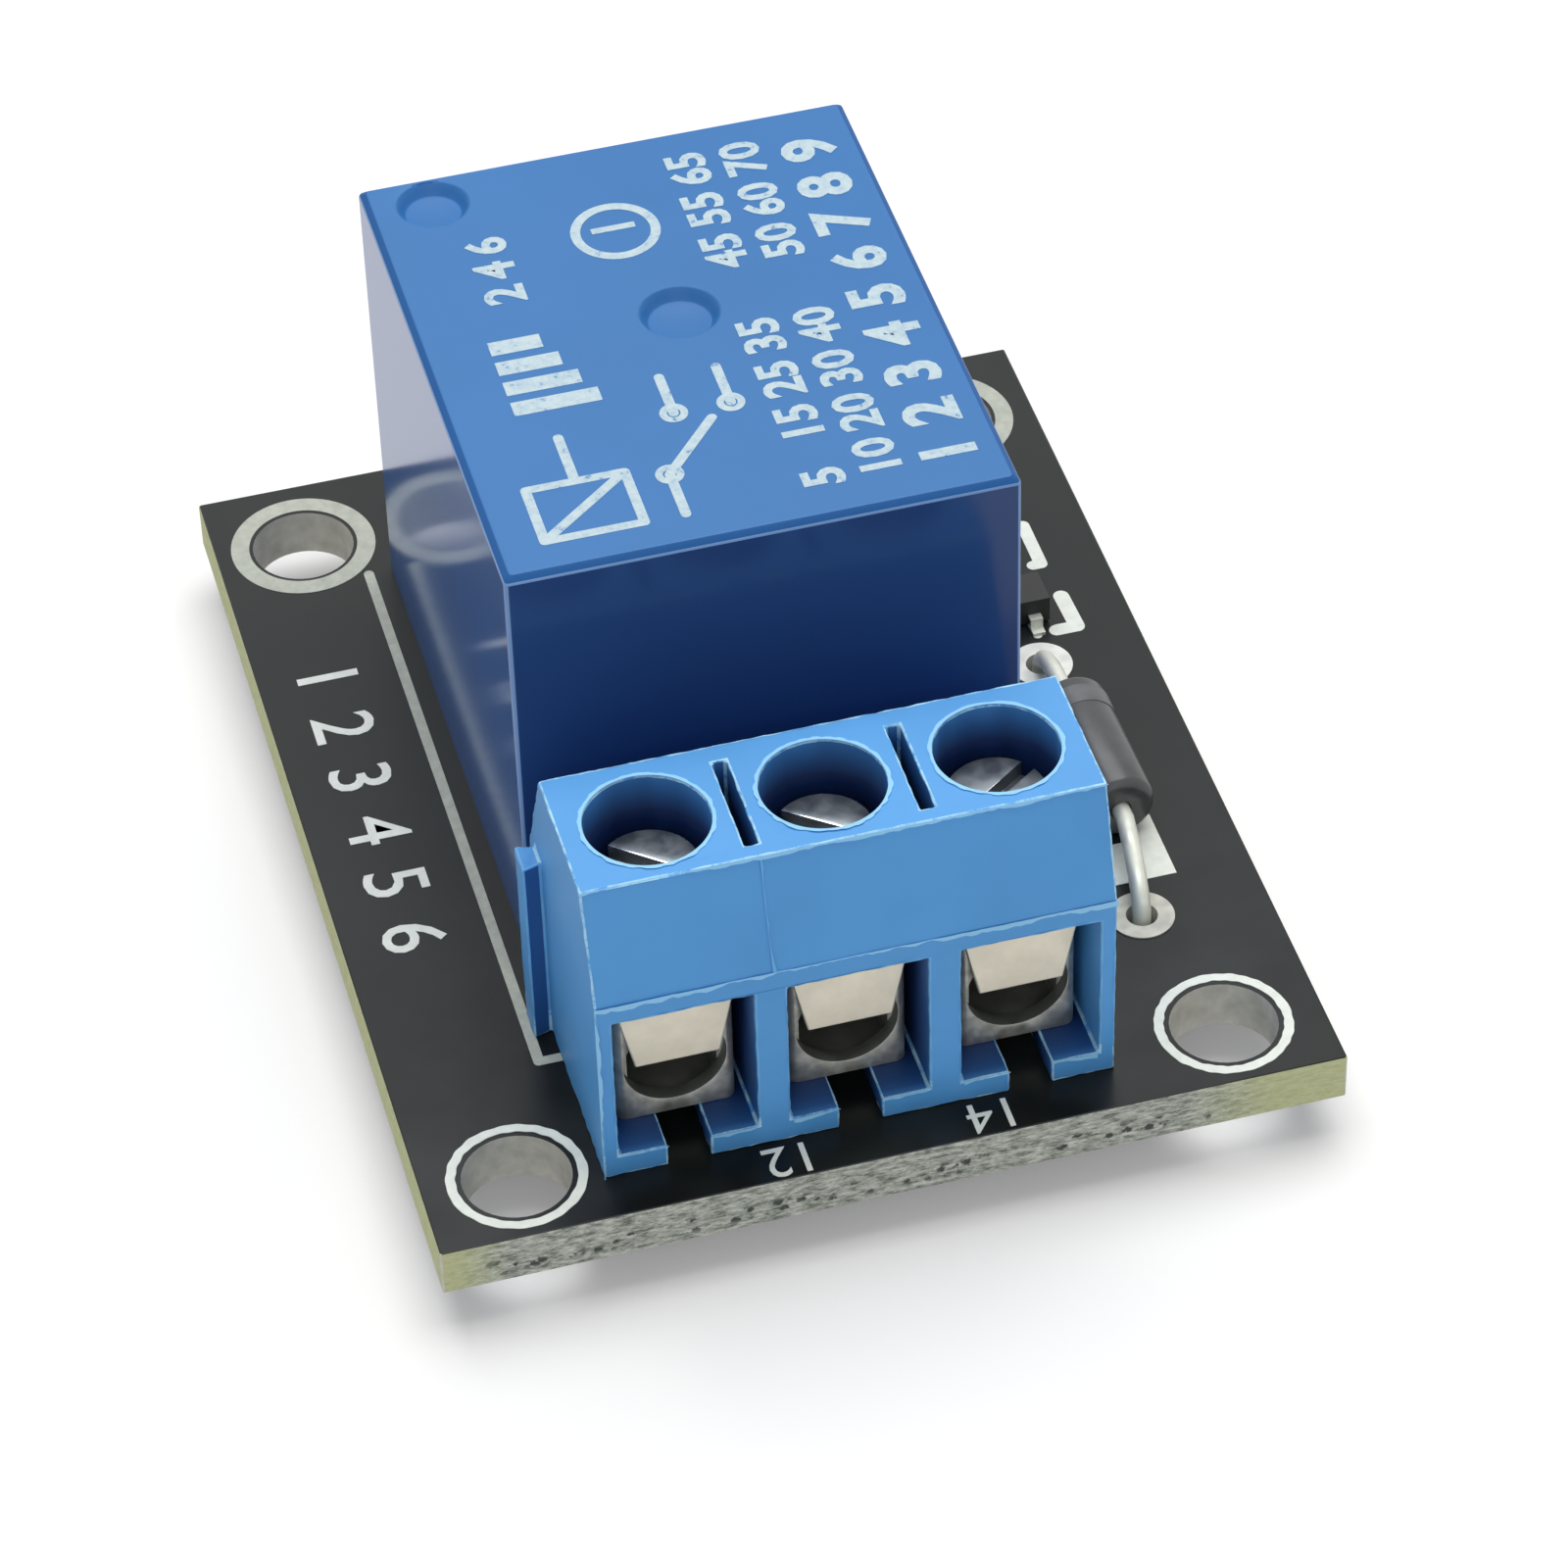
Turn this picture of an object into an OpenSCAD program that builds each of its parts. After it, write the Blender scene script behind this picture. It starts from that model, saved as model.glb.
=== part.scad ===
// Single-channel relay module: a small black board that carries a sealed relay, a three-pole screw
// terminal, a flyback diode, a right-angle pin header and a few surface-mount parts.
//
// Frame: the origin is the centre of the four mounting holes, on the underside of the board.
// +X runs to the right along the front edge, +Y from the terminal to the header, +Z up.

/* [Board] */
// Thickness of the laminate
board_t = 1.6; // [1.2:0.1:2]
// Board to the left of the relay
left_strip = 5.25; // [5:0.05:5.8]
// Board to the right of the relay
right_strip = 6.65; // [6.5:0.05:8]
// Board in front of the relay
front_strip = 10.6; // [10.4:0.1:12]
// Board behind the relay
back_strip = 4.7; // [4.7:0.1:8]
// Diameter of the mounting holes
hole_d = 3.2; // [2.8:0.1:3.4]
// From the left edge of the board to the left holes
hole_left = 2.8; // [2.4:0.1:3]
// From the right edge of the board to the right holes
hole_right = 3; // [2.4:0.1:3.2]
// From the front edge of the board to the front holes
hole_front = 2.35; // [2.2:0.05:2.6]
// From the back edge of the board to the back holes
hole_back = 2.95; // [2.4:0.05:3.2]

/* [Solder and pads] */
// How far the pins and their solder stand out below the board
tail_h = 1.5; // [1.2:0.1:2]
// Thickness of the tinned copper pads
pad_t = 0.05; // [0.03:0.01:0.08]
// Width of copper round each drilled hole
pad_ring = 0.5; // [0.35:0.05:0.55]
// Radius of the solder at the tip of a pin
solder_tip_r = 0.72; // [0.68:0.02:0.8]
// How far the flank of the solder is drawn in
solder_waist = 0.08; // [0:0.02:0.12]
// Gap between a pin and the wall of its drilled hole
drill_gap = 0.06; // [0.04:0.01:0.1]

/* [Relay case] */
// Width of the relay, left to right
relay_w = 15.1; // [14:0.1:17]
// Length of the relay, front to back
relay_l = 18.7; // [17:0.1:21]
// Height of the relay above the board
relay_h = 15; // [13.6:0.1:17]
// Wall of the relay cover
cover_wall = 0.8; // [0.6:0.05:0.9]
// Roof of the relay cover
cover_roof = 0.9; // [0.7:0.05:1.1]
// Bevel round the roof of the cover
cover_bevel = 0.2; // [0.1:0.05:0.4]
// Radius of the upright edges of the cover
cover_edge_r = 0.15; // [0.1:0.05:0.6]
// Depth of the two round marks in the roof
dimple_depth = 0.4; // [0.3:0.02:0.5]
// How far the walls of the round marks lean outwards
dimple_lean = 0.25; // [0.1:0.05:0.3]
// Diameter of the gate mark near the middle of the roof
gate_d = 2.4; // [1.8:0.1:2.8]
// Diameter of the vent mark in the back left corner of the roof
vent_d = 2.2; // [1.6:0.1:2.4]
// From the left wall of the relay to the vent mark
vent_left = 2; // [1.6:0.1:3]
// From the back wall of the relay to the vent mark
vent_back = 1.4; // [1.4:0.1:3]
// How far the gate mark is right of the middle of the roof
gate_right = 0.2; // [-1:0.1:1]
// How far the gate mark is behind the middle of the roof
gate_behind = 0.8; // [-2:0.1:2]

/* [Relay base] */
// Thickness of the relay base
base_t = 1.6; // [1.4:0.1:1.8]
// Gap between the board and the relay base
base_lift = 0.3; // [0.2:0.05:0.4]
// Gap between the base and the walls of the cover
base_gap = 0.08; // [0.05:0.01:0.12]
// From the front of the relay to its two contact pins
contact_row = 2.05; // [1.9:0.05:2.2]
// From the back of the relay to its common pin
common_row = 2.45; // [2.2:0.05:2.6]
// From the coil pins back to the common pin
coil_row = 2; // [1.8:0.1:2.2]
// From the side walls of the relay to the outer pins
pin_inset = 1.55; // [1.5:0.05:1.65]
// Thickness of the flat relay pins
relay_pin_t = 0.4; // [0.3:0.02:0.44]
// Width of the flat relay pins
relay_pin_w = 0.9; // [0.7:0.05:1]
// Diameter of the coil pins
coil_pin_d = 0.6; // [0.5:0.05:0.7]

/* [Relay magnet] */
// Thickness of the steel yoke
yoke_t = 1.1; // [0.9:0.05:1.2]
// Width of the steel yoke
yoke_w = 9; // [8:0.1:9.6]
// From the top of the yoke to the roof inside the cover
head_room = 3.2; // [3:0.1:3.6]
// How far the foot of the yoke reaches past the pole face
yoke_toe = 1; // [0.6:0.1:1.4]
// Gap between the winding and the upright leg of the yoke
winding_gap = 0.1; // [0.05:0.05:0.3]
// Diameter of the iron core
core_d = 3; // [2.6:0.1:3.2]
// Diameter of the pole face on the core
pole_d = 5.6; // [5:0.1:6]
// Thickness of the pole face
pole_t = 0.8; // [0.6:0.05:1]
// How far the bobbin flanges stand out past the winding
flange_rim = 0.3; // [0.2:0.05:0.5]
// Thickness of the bobbin flanges
flange_t = 0.7; // [0.5:0.05:0.8]
// Wall of the bobbin tube
bobbin_wall = 0.5; // [0.4:0.05:0.6]
// Outside diameter of the winding
winding_d = 9.2; // [8.4:0.1:10.2]
// How much shorter the bobbin flanges are than wide
flange_trim = 0.4; // [0.2:0.1:0.6]
// Width of the bobbin's ears round the coil pins
ear_w = 1.2; // [1:0.1:1.3]
// Sliding gap between core, bobbin and winding
coil_gap = 0.04; // [0.02:0.01:0.06]
// How far the coil pins stand up past the lower flange
coil_pin_rise = 1.2; // [0.8:0.1:1.6]

/* [Relay contacts] */
// Thickness of the armature plate
armature_t = 1; // [0.8:0.05:1.1]
// Width of the armature plate
armature_w = 8; // [7:0.1:8.6]
// From the hinge edge to the front of the armature
armature_l = 8.8; // [8.4:0.1:9]
// Angle that the armature stands open by, in degrees
armature_open = 4.5; // [4:0.1:4.8]
// Gap left between the armature and the iron when it is pulled in
armature_gap = 0.04; // [0.03:0.01:0.08]
// Thickness of the contact leaf
leaf_t = 0.15; // [0.12:0.01:0.2]
// Width of the contact leaf
leaf_w = 3; // [2.6:0.1:3.4]
// How far the contact leaf steps down in front of the armature
leaf_step = 1.5; // [1.3:0.05:1.6]
// Gap between the front of the armature and the step of the leaf
leaf_step_gap = 0.35; // [0.2:0.05:0.5]
// How far the leaf reaches past its contact
leaf_nose = 0.1; // [0:0.05:0.3]
// Length of the leaf's tail behind the yoke
leaf_tail = 4.2; // [3:0.1:5]
// Gap between the leaf's tail and the yoke
leaf_tail_gap = 0.12; // [0.1:0.01:0.2]
// Diameter of the contact buttons
contact_d = 2; // [1.7:0.1:2.2]
// Height of each contact button
contact_h = 0.45; // [0.35:0.05:0.5]
// Smallest gap between a fixed and a moving contact
contact_gap = 0.02; // [0.01:0.01:0.04]
// Thickness of the arms of the fixed contacts
arm_t = 0.4; // [0.3:0.05:0.5]
// Width of the arms of the fixed contacts
arm_w = 2.2; // [2:0.1:2.4]
// Width of the common terminal behind the yoke
common_w = 3; // [2:0.1:5]
// Height of the common terminal above the relay base
common_h = 3; // [2:0.1:4]

/* [Terminal block] */
// Spacing of the poles
pole_pitch = 5.08; // [5:0.01:5.1]
// Depth of the block, front to back
block_d = 7.7; // [7.3:0.1:8]
// Height of the block above the board
block_h = 10.3; // [10:0.1:10.8]
// From the left edge of the board to the block
block_x = 5.17; // [4.9:0.05:5.4]
// From the front edge of the board to the block
block_y = 1.52; // [1.2:0.05:1.7]
// Height of the crease across the front
crease_h = 6.8; // [6.5:0.1:7.2]
// How far the front leans back above the crease
front_lean = 1.1; // [0.8:0.05:1.2]
// How far the back leans forward towards the top
back_lean = 1.85; // [1.5:0.05:2]
// Height at which the back starts to lean
back_crease_h = 6.4; // [6:0.1:7]
// Width of each wire window
window_w = 4.1; // [4:0.05:4.3]
// Top of the wire windows
window_top = 6.03; // [6:0.05:6.3]
// Thickness of the floor tabs
floor_t = 0.8; // [0.6:0.05:0.9]
// Width of the slot between two floor tabs
floor_slot = 1.24; // [1.2:0.02:1.4]
// Diameter of the screwdriver holes
driver_d = 3.6; // [3.4:0.05:3.7]
// From the front of the block to the screws
screw_y = 3.4; // [3.3:0.05:3.5]
// Width of the slits between the poles
slit_w = 0.4; // [0.3:0.05:0.5]
// Length of the slits between the poles
slit_l = 3.5; // [3:0.1:3.8]
// Depth of the slits between the poles
slit_depth = 3.2; // [2:0.1:3.4]
// Thickness of the dovetail rib on the left side
rib_t = 0.57; // [0.4:0.01:0.6]
// Width of the dovetail rib at its outer face
rib_w = 1.1; // [0.9:0.05:1.2]
// How far each flank of the dovetail is undercut
rib_undercut = 0.18; // [0.1:0.02:0.25]
// From the back of the block to the dovetail rib
rib_back = 0.6; // [0.5:0.05:0.7]
// Extra size of the groove on the right side, all round
groove_gap = 0.08; // [0.05:0.01:0.1]

/* [Clamp cages] */
// Width of a clamp cage
cage_w = 3.55; // [3.4:0.05:3.7]
// Depth of a clamp cage
cage_d = 4.2; // [4:0.05:4.3]
// Height of a clamp cage
cage_h = 5.15; // [5.1:0.01:5.2]
// Sheet thickness of a clamp cage
cage_t = 0.45; // [0.4:0.05:0.5]
// Thickness of the tapped top of a cage
cage_top_t = 0.65; // [0.6:0.05:0.7]
// Radius of the folded edges of a cage
cage_fold_r = 0.35; // [0.3:0.05:0.6]
// How far a cage sits back from the front of the block
cage_inset = 1.35; // [1.3:0.05:1.4]
// Diameter of the wire hole
wire_d = 3.05; // [2.9:0.05:3.1]
// Height of the wire hole above the floor of the cage
wire_z = 2; // [1.95:0.05:2.1]
// Width of the solder pin under a cage
cage_pin_w = 1; // [0.9:0.05:1.1]
// Thickness of the solder pin under a cage
cage_pin_t = 0.6; // [0.5:0.05:0.8]
// From the front of the block to the solder pins
cage_pin_y = 4; // [3.8:0.1:4.2]

/* [Clamp screws and wire guards] */
// Diameter of the screw thread
screw_d = 2.4; // [2.2:0.05:2.5]
// Gap between the thread and its tapped hole
thread_gap = 0.05; // [0.03:0.01:0.08]
// Diameter of the screw head
head_d = 2.9; // [2.7:0.05:3]
// Height of the screw head
head_h = 1.1; // [1:0.05:1.2]
// How far the screw head lies below the top of the block
head_sink = 1.7; // [1.5:0.05:1.75]
// Width of the slot in the screw head
slot_w = 0.45; // [0.35:0.05:0.6]
// Depth of the slot in the screw head
slot_depth = 0.5; // [0.3:0.05:0.7]
// How far the left screw is turned, in degrees
slot_turn_left = -40; // [-90:1:90]
// How far the middle screw is turned, in degrees
slot_turn_middle = -38; // [-90:1:90]
// How far the right screw is turned, in degrees
slot_turn_right = 35; // [-90:1:90]
// Sheet thickness of a wire guard
guard_t = 0.3; // [0.25:0.01:0.35]
// Width of the wire guard at its fold
guard_top_w = 3.36; // [3.2:0.02:3.5]
// Width of the wire guard at its lower edge
guard_low_w = 2.5; // [2.2:0.05:2.8]
// How far the wire guard hangs in front of the cage
guard_drop = 2.1; // [1.9:0.05:2.2]
// Width of the tongue under the screw
tongue_w = 2.3; // [2.2:0.05:2.4]
// Length of the tongue into the cage
tongue_l = 3.2; // [3:0.05:3.4]
// Gap between the wire guard and the cage
guard_gap = 0.07; // [0.05:0.01:0.09]
// Travel of the wire guard when its screw is tightened
clamp_travel = 1.35; // [1:0.05:1.4]

/* [Diode] */
// Diameter of the diode body
diode_d = 2.25; // [2:0.05:2.7]
// Length of the diode body
diode_l = 5.1; // [4.8:0.1:5.4]
// Diameter of the diode leads
lead_d = 0.56; // [0.5:0.02:0.8]
// Gap between a diode lead and the wall of its drilled hole
lead_gap = 0.2; // [0.1:0.02:0.24]
// Rounding of the ends of the diode body
diode_edge = 0.2; // [0.1:0.05:0.4]
// From the relay to the middle of the diode body
diode_side = 3.15; // [3.05:0.05:3.4]
// From the front edge of the board to the middle of the diode body
diode_y = 13.25; // [12.9:0.05:13.4]
// Angle that the diode body is turned by
diode_turn = 0.5; // [0:0.5:4]
// From the relay to the front hole of the diode
front_hole_side = 2.75; // [2.6:0.05:3.2]
// From the relay to the back hole of the diode
back_hole_side = 3.2; // [2.8:0.05:3.4]
// From the middle of the diode body to its front hole
front_hole_reach = 5.95; // [5.8:0.05:6.2]
// From the middle of the diode body to its back hole
back_hole_reach = 5.55; // [5.4:0.05:5.9]
// Straight length of lead at each end of the diode body
lead_straight = 0.4; // [0.3:0.05:1.1]

/* [Pin header] */
// Spacing of the header pins
header_pitch = 2.54; // [2.5:0.01:2.54]
// Side of the square header pins
header_pin = 0.64; // [0.6:0.01:0.66]
// Height and depth of the header block
header_block = 2.5; // [2.3:0.05:2.54]
// Bevel on the edges between the header's cells
header_bevel = 0.5; // [0.3:0.05:0.7]
// How far the middle pin is right of the middle of the relay
header_right = 0.7; // [-1:0.1:1.5]
// From the back edge of the board to the row of header holes
header_inset = 3.4; // [3.1:0.05:3.4]
// From the header holes to the header block
header_leg = 1.4; // [1.2:0.05:1.6]
// Length of the header pins beyond their block
header_reach = 6; // [5:0.1:8]
// Outer bend radius of the header pins
header_bend = 0.9; // [0.8:0.05:1]

/* [Surface-mount parts] */
// Length of the transistor body
sot_l = 2.9; // [2.8:0.05:3]
// Width of the transistor body
sot_w = 1.3; // [1.2:0.05:1.4]
// Height of the transistor above the board
sot_h = 1; // [0.9:0.05:1.1]
// Gap between the board and the transistor body
sot_lift = 0.1; // [0.05:0.01:0.12]
// Width of the transistor's leads
sot_lead_w = 0.4; // [0.35:0.05:0.5]
// Sheet thickness of the transistor's leads
sot_lead_t = 0.12; // [0.1:0.01:0.15]
// How far the transistor's leads reach out from its body
sot_lead_reach = 0.55; // [0.5:0.05:0.6]
// Height at which the leads leave the transistor body
sot_lead_h = 0.45; // [0.4:0.05:0.6]
// Spacing of the transistor's two front leads
sot_pitch = 1.9; // [1.9:0.05:2]
// Length of the chip parts
chip_l = 2; // [1.6:0.1:2.2]
// Width of the chip parts
chip_w = 1.25; // [0.8:0.05:1.3]
// Height of the chip parts
chip_h = 0.5; // [0.4:0.05:0.6]
// Length of the metal end caps of the chip parts
cap_l = 0.4; // [0.3:0.05:0.5]
// From the relay to the middle of the transistor
sot_side = 2.6; // [2.4:0.05:2.8]
// From the relay to the middle of the base resistor and of the indicator
chip_side = 2.85; // [2.4:0.05:3.2]
// From the back hole of the diode to the middle of the transistor
sot_row = 2.5; // [2.4:0.05:2.7]
// From the middle of the transistor to the base resistor
resistor_row = 3.6; // [3.2:0.05:3.8]
// From the base resistor to the indicator
led_row = 3; // [2.6:0.05:3]
// From the left edge of the board to the indicator's resistor
led_resistor_x = 7.6; // [6.6:0.1:9]
// From the back edge of the board to the indicator's resistor
led_resistor_inset = 2.3; // [1.8:0.1:3]

/* [Hidden] */
$fn = 48;
// A little extra length so that cuts pass through
eps = 0.01;
// Clearance that lets one piece slide past another
slip = 0.02;
// Straight pieces in the quarter turn of a diode lead
lead_steps = 8;
poles = 3;

// Board
board_w = left_strip + relay_w + right_strip;
board_l = front_strip + relay_l + back_strip;
hole_pitch_x = board_w - hole_left - hole_right;
hole_pitch_y = board_l - hole_front - hole_back;
// Front left corner of the board in this frame
board_at = [-hole_pitch_x / 2 - hole_left, -hole_pitch_y / 2 - hole_front];
tail_z = -tail_h;

// Relay
relay_mid = left_strip + relay_w / 2;
relay_right = left_strip + relay_w;
relay_back = front_strip + relay_l;
pin_side = relay_w / 2 - pin_inset;
base_z = board_t + base_lift;
base_top = base_z + base_t;
contact_y = front_strip + contact_row;
common_y = relay_back - common_row;
coil_pin_y = common_y - coil_row;
yoke_back = common_y - relay_pin_t / 2;
yoke_top = board_t + relay_h - cover_roof - head_room;
coil_reach = relay_pin_t / 2 + yoke_t + winding_gap + winding_d / 2;
coil_y = common_y - coil_reach;
flange_w = winding_d + 2 * flange_rim;
leg_top = base_top + yoke_t;
pole_z = yoke_top - pole_t;
winding_h = pole_z - leg_top - 2 * flange_t - 2 * coil_gap;
hinge_y = yoke_back;
hinge_z = yoke_top;
armature_low = hinge_z + armature_gap;
leaf_z = armature_low + armature_t + coil_gap;
leaf_front_z = leaf_z - leaf_step;
// The contacts meet a little behind the row of their pins when the armature is open
contact_reach = hinge_y - contact_y - leaf_step * sin(armature_open);
open_button_top = leaf_front_z - contact_h - contact_gap;
closed_button_low = hinge_z + (leaf_front_z + leaf_t + contact_h - hinge_z) * cos(armature_open)
  + (contact_reach + contact_d / 2) * sin(armature_open) + contact_gap;

// Terminal block
block_w = poles * pole_pitch;
block_top = board_t + block_h;
cage_z = board_t + floor_t;
cage_top = cage_z + cage_h;
cage_y = block_y + cage_inset;
cavity_d = cage_inset + cage_d + slip;
slot_turns = [slot_turn_left, slot_turn_middle, slot_turn_right];
tongue_top = cage_top - cage_top_t - slip;
guard_low = tongue_top - guard_drop;
guard_y = cage_y - guard_gap - guard_t;
head_top = block_top - head_sink;
rib_at = block_d - rib_back - rib_w;
cage_pin_drill = norm([cage_pin_w, cage_pin_t]) + 2 * drill_gap;
relay_pin_drill = norm([relay_pin_w, relay_pin_t]) + 2 * drill_gap;
coil_pin_drill = coil_pin_d + 2 * drill_gap;
header_drill = norm([header_pin, header_pin]) + 2 * drill_gap;
lead_drill = lead_d + 2 * lead_gap;

// Header
header_x = relay_mid + header_right;
header_y = board_l - header_inset;
header_z = board_t + header_block / 2;

// Diode and surface-mount parts
diode_z = board_t + diode_d / 2;
diode_at = [relay_right + diode_side, diode_y];
// Direction of the diode's axis, from back to front
diode_dir = [sin(diode_turn), -cos(diode_turn)];
diode_front = [relay_right + front_hole_side, diode_y - front_hole_reach];
diode_back = [relay_right + back_hole_side, diode_y + back_hole_reach];
sot_at = [relay_right + sot_side, diode_back.y + sot_row];
base_resistor_at = [relay_right + chip_side, sot_at.y + resistor_row];
led_at = base_resistor_at + [0, led_row];
led_resistor_at = [led_resistor_x, board_l - led_resistor_inset];

// Every drilled pin hole: place on the board, drill diameter, pin outline and whether its pad shows on top.
// A pin outline is [width, depth] for a flat pin or [diameter] for a round one.
function pole_x(i) = block_x + (i + 0.5) * pole_pitch;
joints = concat(
  [for (i = [0:poles - 1])
    [[pole_x(i), block_y + cage_pin_y], cage_pin_drill, [cage_pin_w, cage_pin_t], false]],
  [for (s = [-1, 1]) [[relay_mid + s * pin_side, contact_y], relay_pin_drill,
    [relay_pin_t, relay_pin_w], false]],
  [for (s = [-1, 1]) [[relay_mid + s * pin_side, coil_pin_y], coil_pin_drill, [coil_pin_d], false]],
  [[[relay_mid, common_y], relay_pin_drill, [relay_pin_w, relay_pin_t], false]],
  [for (i = [-1:1]) [[header_x + i * header_pitch, header_y], header_drill,
    [header_pin, header_pin], true]],
  [[diode_front, lead_drill, [lead_d], true], [diode_back, lead_drill, [lead_d], true]]
);

// Puts its children on a place given from the left and front edges of the board, at height z
module at_board(place, z = 0) {
  translate([board_at.x + place.x, board_at.y + place.y, z]) children();
}

// Flat outline with rounded corners
module rounded_rect(w, d, r) {
  translate([0, r]) square([w, d - 2 * r]);
  translate([r, 0]) square([w - 2 * r, d]);
  for (x = [r, w - r], y = [r, d - r]) translate([x, y]) circle(r);
}

// Upright prism of a pin, centred on its hole, from z0 to z1
module pin_prism(outline, z0, z1, grow = 0) {
  translate([0, 0, z0])
    if (len(outline) == 1) cylinder(d = outline[0] + 2 * grow, h = z1 - z0);
    else translate([-outline[0] / 2 - grow, -outline[1] / 2 - grow, 0])
      cube([outline[0] + 2 * grow, outline[1] + 2 * grow, z1 - z0]);
}

// Plate drawn in the Y-Z plane and centred on x = 0
module side_plate(width, points) {
  translate([-width / 2, 0, 0]) rotate([90, 0, 90]) linear_extrude(width) polygon(points);
}

// Round wire swept along a list of points
module wire(points, d, sides = 10) {
  last = len(points) - 1;
  tangents = [for (i = [0:last])
    let (v = points[min(i + 1, last)] - points[max(i - 1, 0)]) v / norm(v)];
  rings = [for (i = [0:last], k = [0:sides - 1])
    let (t = tangents[i], u = cross(t, [1, 0, 0]), a = u / norm(u), b = cross(t, a), w = 360 * k / sides)
      points[i] + d / 2 * (a * cos(w) + b * sin(w))];
  polyhedron(
    rings,
    concat(
      [[for (k = [0:sides - 1]) k]],
      [for (i = [0:last - 1], k = [0:sides - 1])
        let (m = (k + 1) % sides) [i * sides + k, (i + 1) * sides + k, (i + 1) * sides + m, i * sides + m]],
      [[for (k = [sides - 1:-1:0]) last * sides + k]]
    )
  );
}

// ---- Board ----

module circuit_board() {
  color("#1d1f1e") difference() {
    at_board([0, 0]) cube([board_w, board_l, board_t]);
    for (sx = [-1, 1], sy = [-1, 1])
      translate([sx * hole_pitch_x / 2, sy * hole_pitch_y / 2, -eps])
        cylinder(d = hole_d, h = board_t + 2 * eps);
    for (j = joints) at_board(j[0], -eps) cylinder(d = j[1], h = board_t + 2 * eps);
  }
}

// Tinned rings round the drilled holes: all of them below, and above where the part leaves them open
module copper_pads() {
  color("#c9ccca") for (j = joints) {
    at_board(j[0], -pad_t) difference() {
      cylinder(d = j[1] + 2 * pad_ring, h = pad_t);
      translate([0, 0, -eps]) cylinder(d = j[1], h = pad_t + 2 * eps);
    }
    if (j[3]) at_board(j[0], board_t) difference() {
      cylinder(d = j[1] + 2 * pad_ring, h = pad_t);
      translate([0, 0, -eps]) cylinder(d = j[1], h = pad_t + 2 * eps);
    }
  }
}

// One cone of solder under each pad, hollow where its pin passes through
module solder_joints() {
  color("#b9bcbc") for (j = joints) at_board(j[0]) difference() {
    rotate_extrude() polygon([
      [0, -pad_t], [j[1] / 2 + pad_ring - slip, -pad_t],
      [(j[1] / 2 + pad_ring + solder_tip_r) / 2 - solder_waist, -(pad_t + tail_h) / 2],
      [solder_tip_r, tail_z], [0, tail_z]
    ]);
    pin_prism(j[2], tail_z - eps, 0, slip);
  }
}

// ---- Relay ----

// Shallow dish with a flat floor and a wall that leans outwards; d is its width at the roof
module round_mark(d) {
  rotate_extrude() polygon([
    [0, 0], [d / 2 - dimple_lean, 0], [d / 2, dimple_depth], [d / 2, dimple_depth + eps],
    [0, dimple_depth + eps]
  ]);
}

module relay_cover() {
  color("#4a82c0") at_board([left_strip, front_strip], board_t) difference() {
    hull() {
      linear_extrude(relay_h - cover_bevel) rounded_rect(relay_w, relay_l, cover_edge_r);
      translate([cover_bevel, cover_bevel, 0]) linear_extrude(relay_h)
        rounded_rect(relay_w - 2 * cover_bevel, relay_l - 2 * cover_bevel, cover_edge_r);
    }
    translate([cover_wall, cover_wall, -eps])
      cube([relay_w - 2 * cover_wall, relay_l - 2 * cover_wall, relay_h - cover_roof + eps]);
    translate([vent_left, relay_l - vent_back, relay_h - dimple_depth]) round_mark(vent_d);
    translate([relay_w / 2 + gate_right, relay_l / 2 + gate_behind, relay_h - dimple_depth])
      round_mark(gate_d);
  }
}

// Flat tray that closes the cover from below, with a slot or hole for every pin
module relay_base() {
  inset = cover_wall + base_gap;
  color("#2f5f9e") difference() {
    at_board([left_strip + inset, front_strip + inset], base_z)
      cube([relay_w - 2 * inset, relay_l - 2 * inset, base_t]);
    for (s = [-1, 1]) {
      at_board([relay_mid + s * pin_side, contact_y])
        pin_prism([relay_pin_t, relay_pin_w], base_z - eps, base_top + eps, slip);
      at_board([relay_mid + s * pin_side, coil_pin_y])
        pin_prism([coil_pin_d], base_z - eps, base_top + eps, slip);
    }
    at_board([relay_mid, common_y])
      pin_prism([relay_pin_w, relay_pin_t], base_z - eps, base_top + eps, slip);
  }
}

// L-shaped steel: one leg under the coil, the other up its back to the armature's hinge edge
module relay_yoke() {
  foot_l = coil_reach + pole_d / 2 + yoke_toe;
  color("#9aa0a4") difference() {
    at_board([relay_mid, yoke_back]) side_plate(yoke_w, [
      [0, base_top], [0, yoke_top], [-yoke_t, yoke_top], [-yoke_t, leg_top],
      [-foot_l, leg_top], [-foot_l, base_top]
    ]);
    at_board([relay_mid, coil_y], base_top - eps) cylinder(d = core_d, h = yoke_t + 2 * eps);
  }
}

// Iron core, riveted into the foot of the yoke, with its pole face on top
module relay_core() {
  color("#a9adb0") at_board([relay_mid, coil_y]) {
    translate([0, 0, base_top]) cylinder(d = core_d - 2 * slip, h = pole_z - base_top + eps);
    translate([0, 0, pole_z]) cylinder(d = pole_d, h = pole_t);
  }
}

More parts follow.
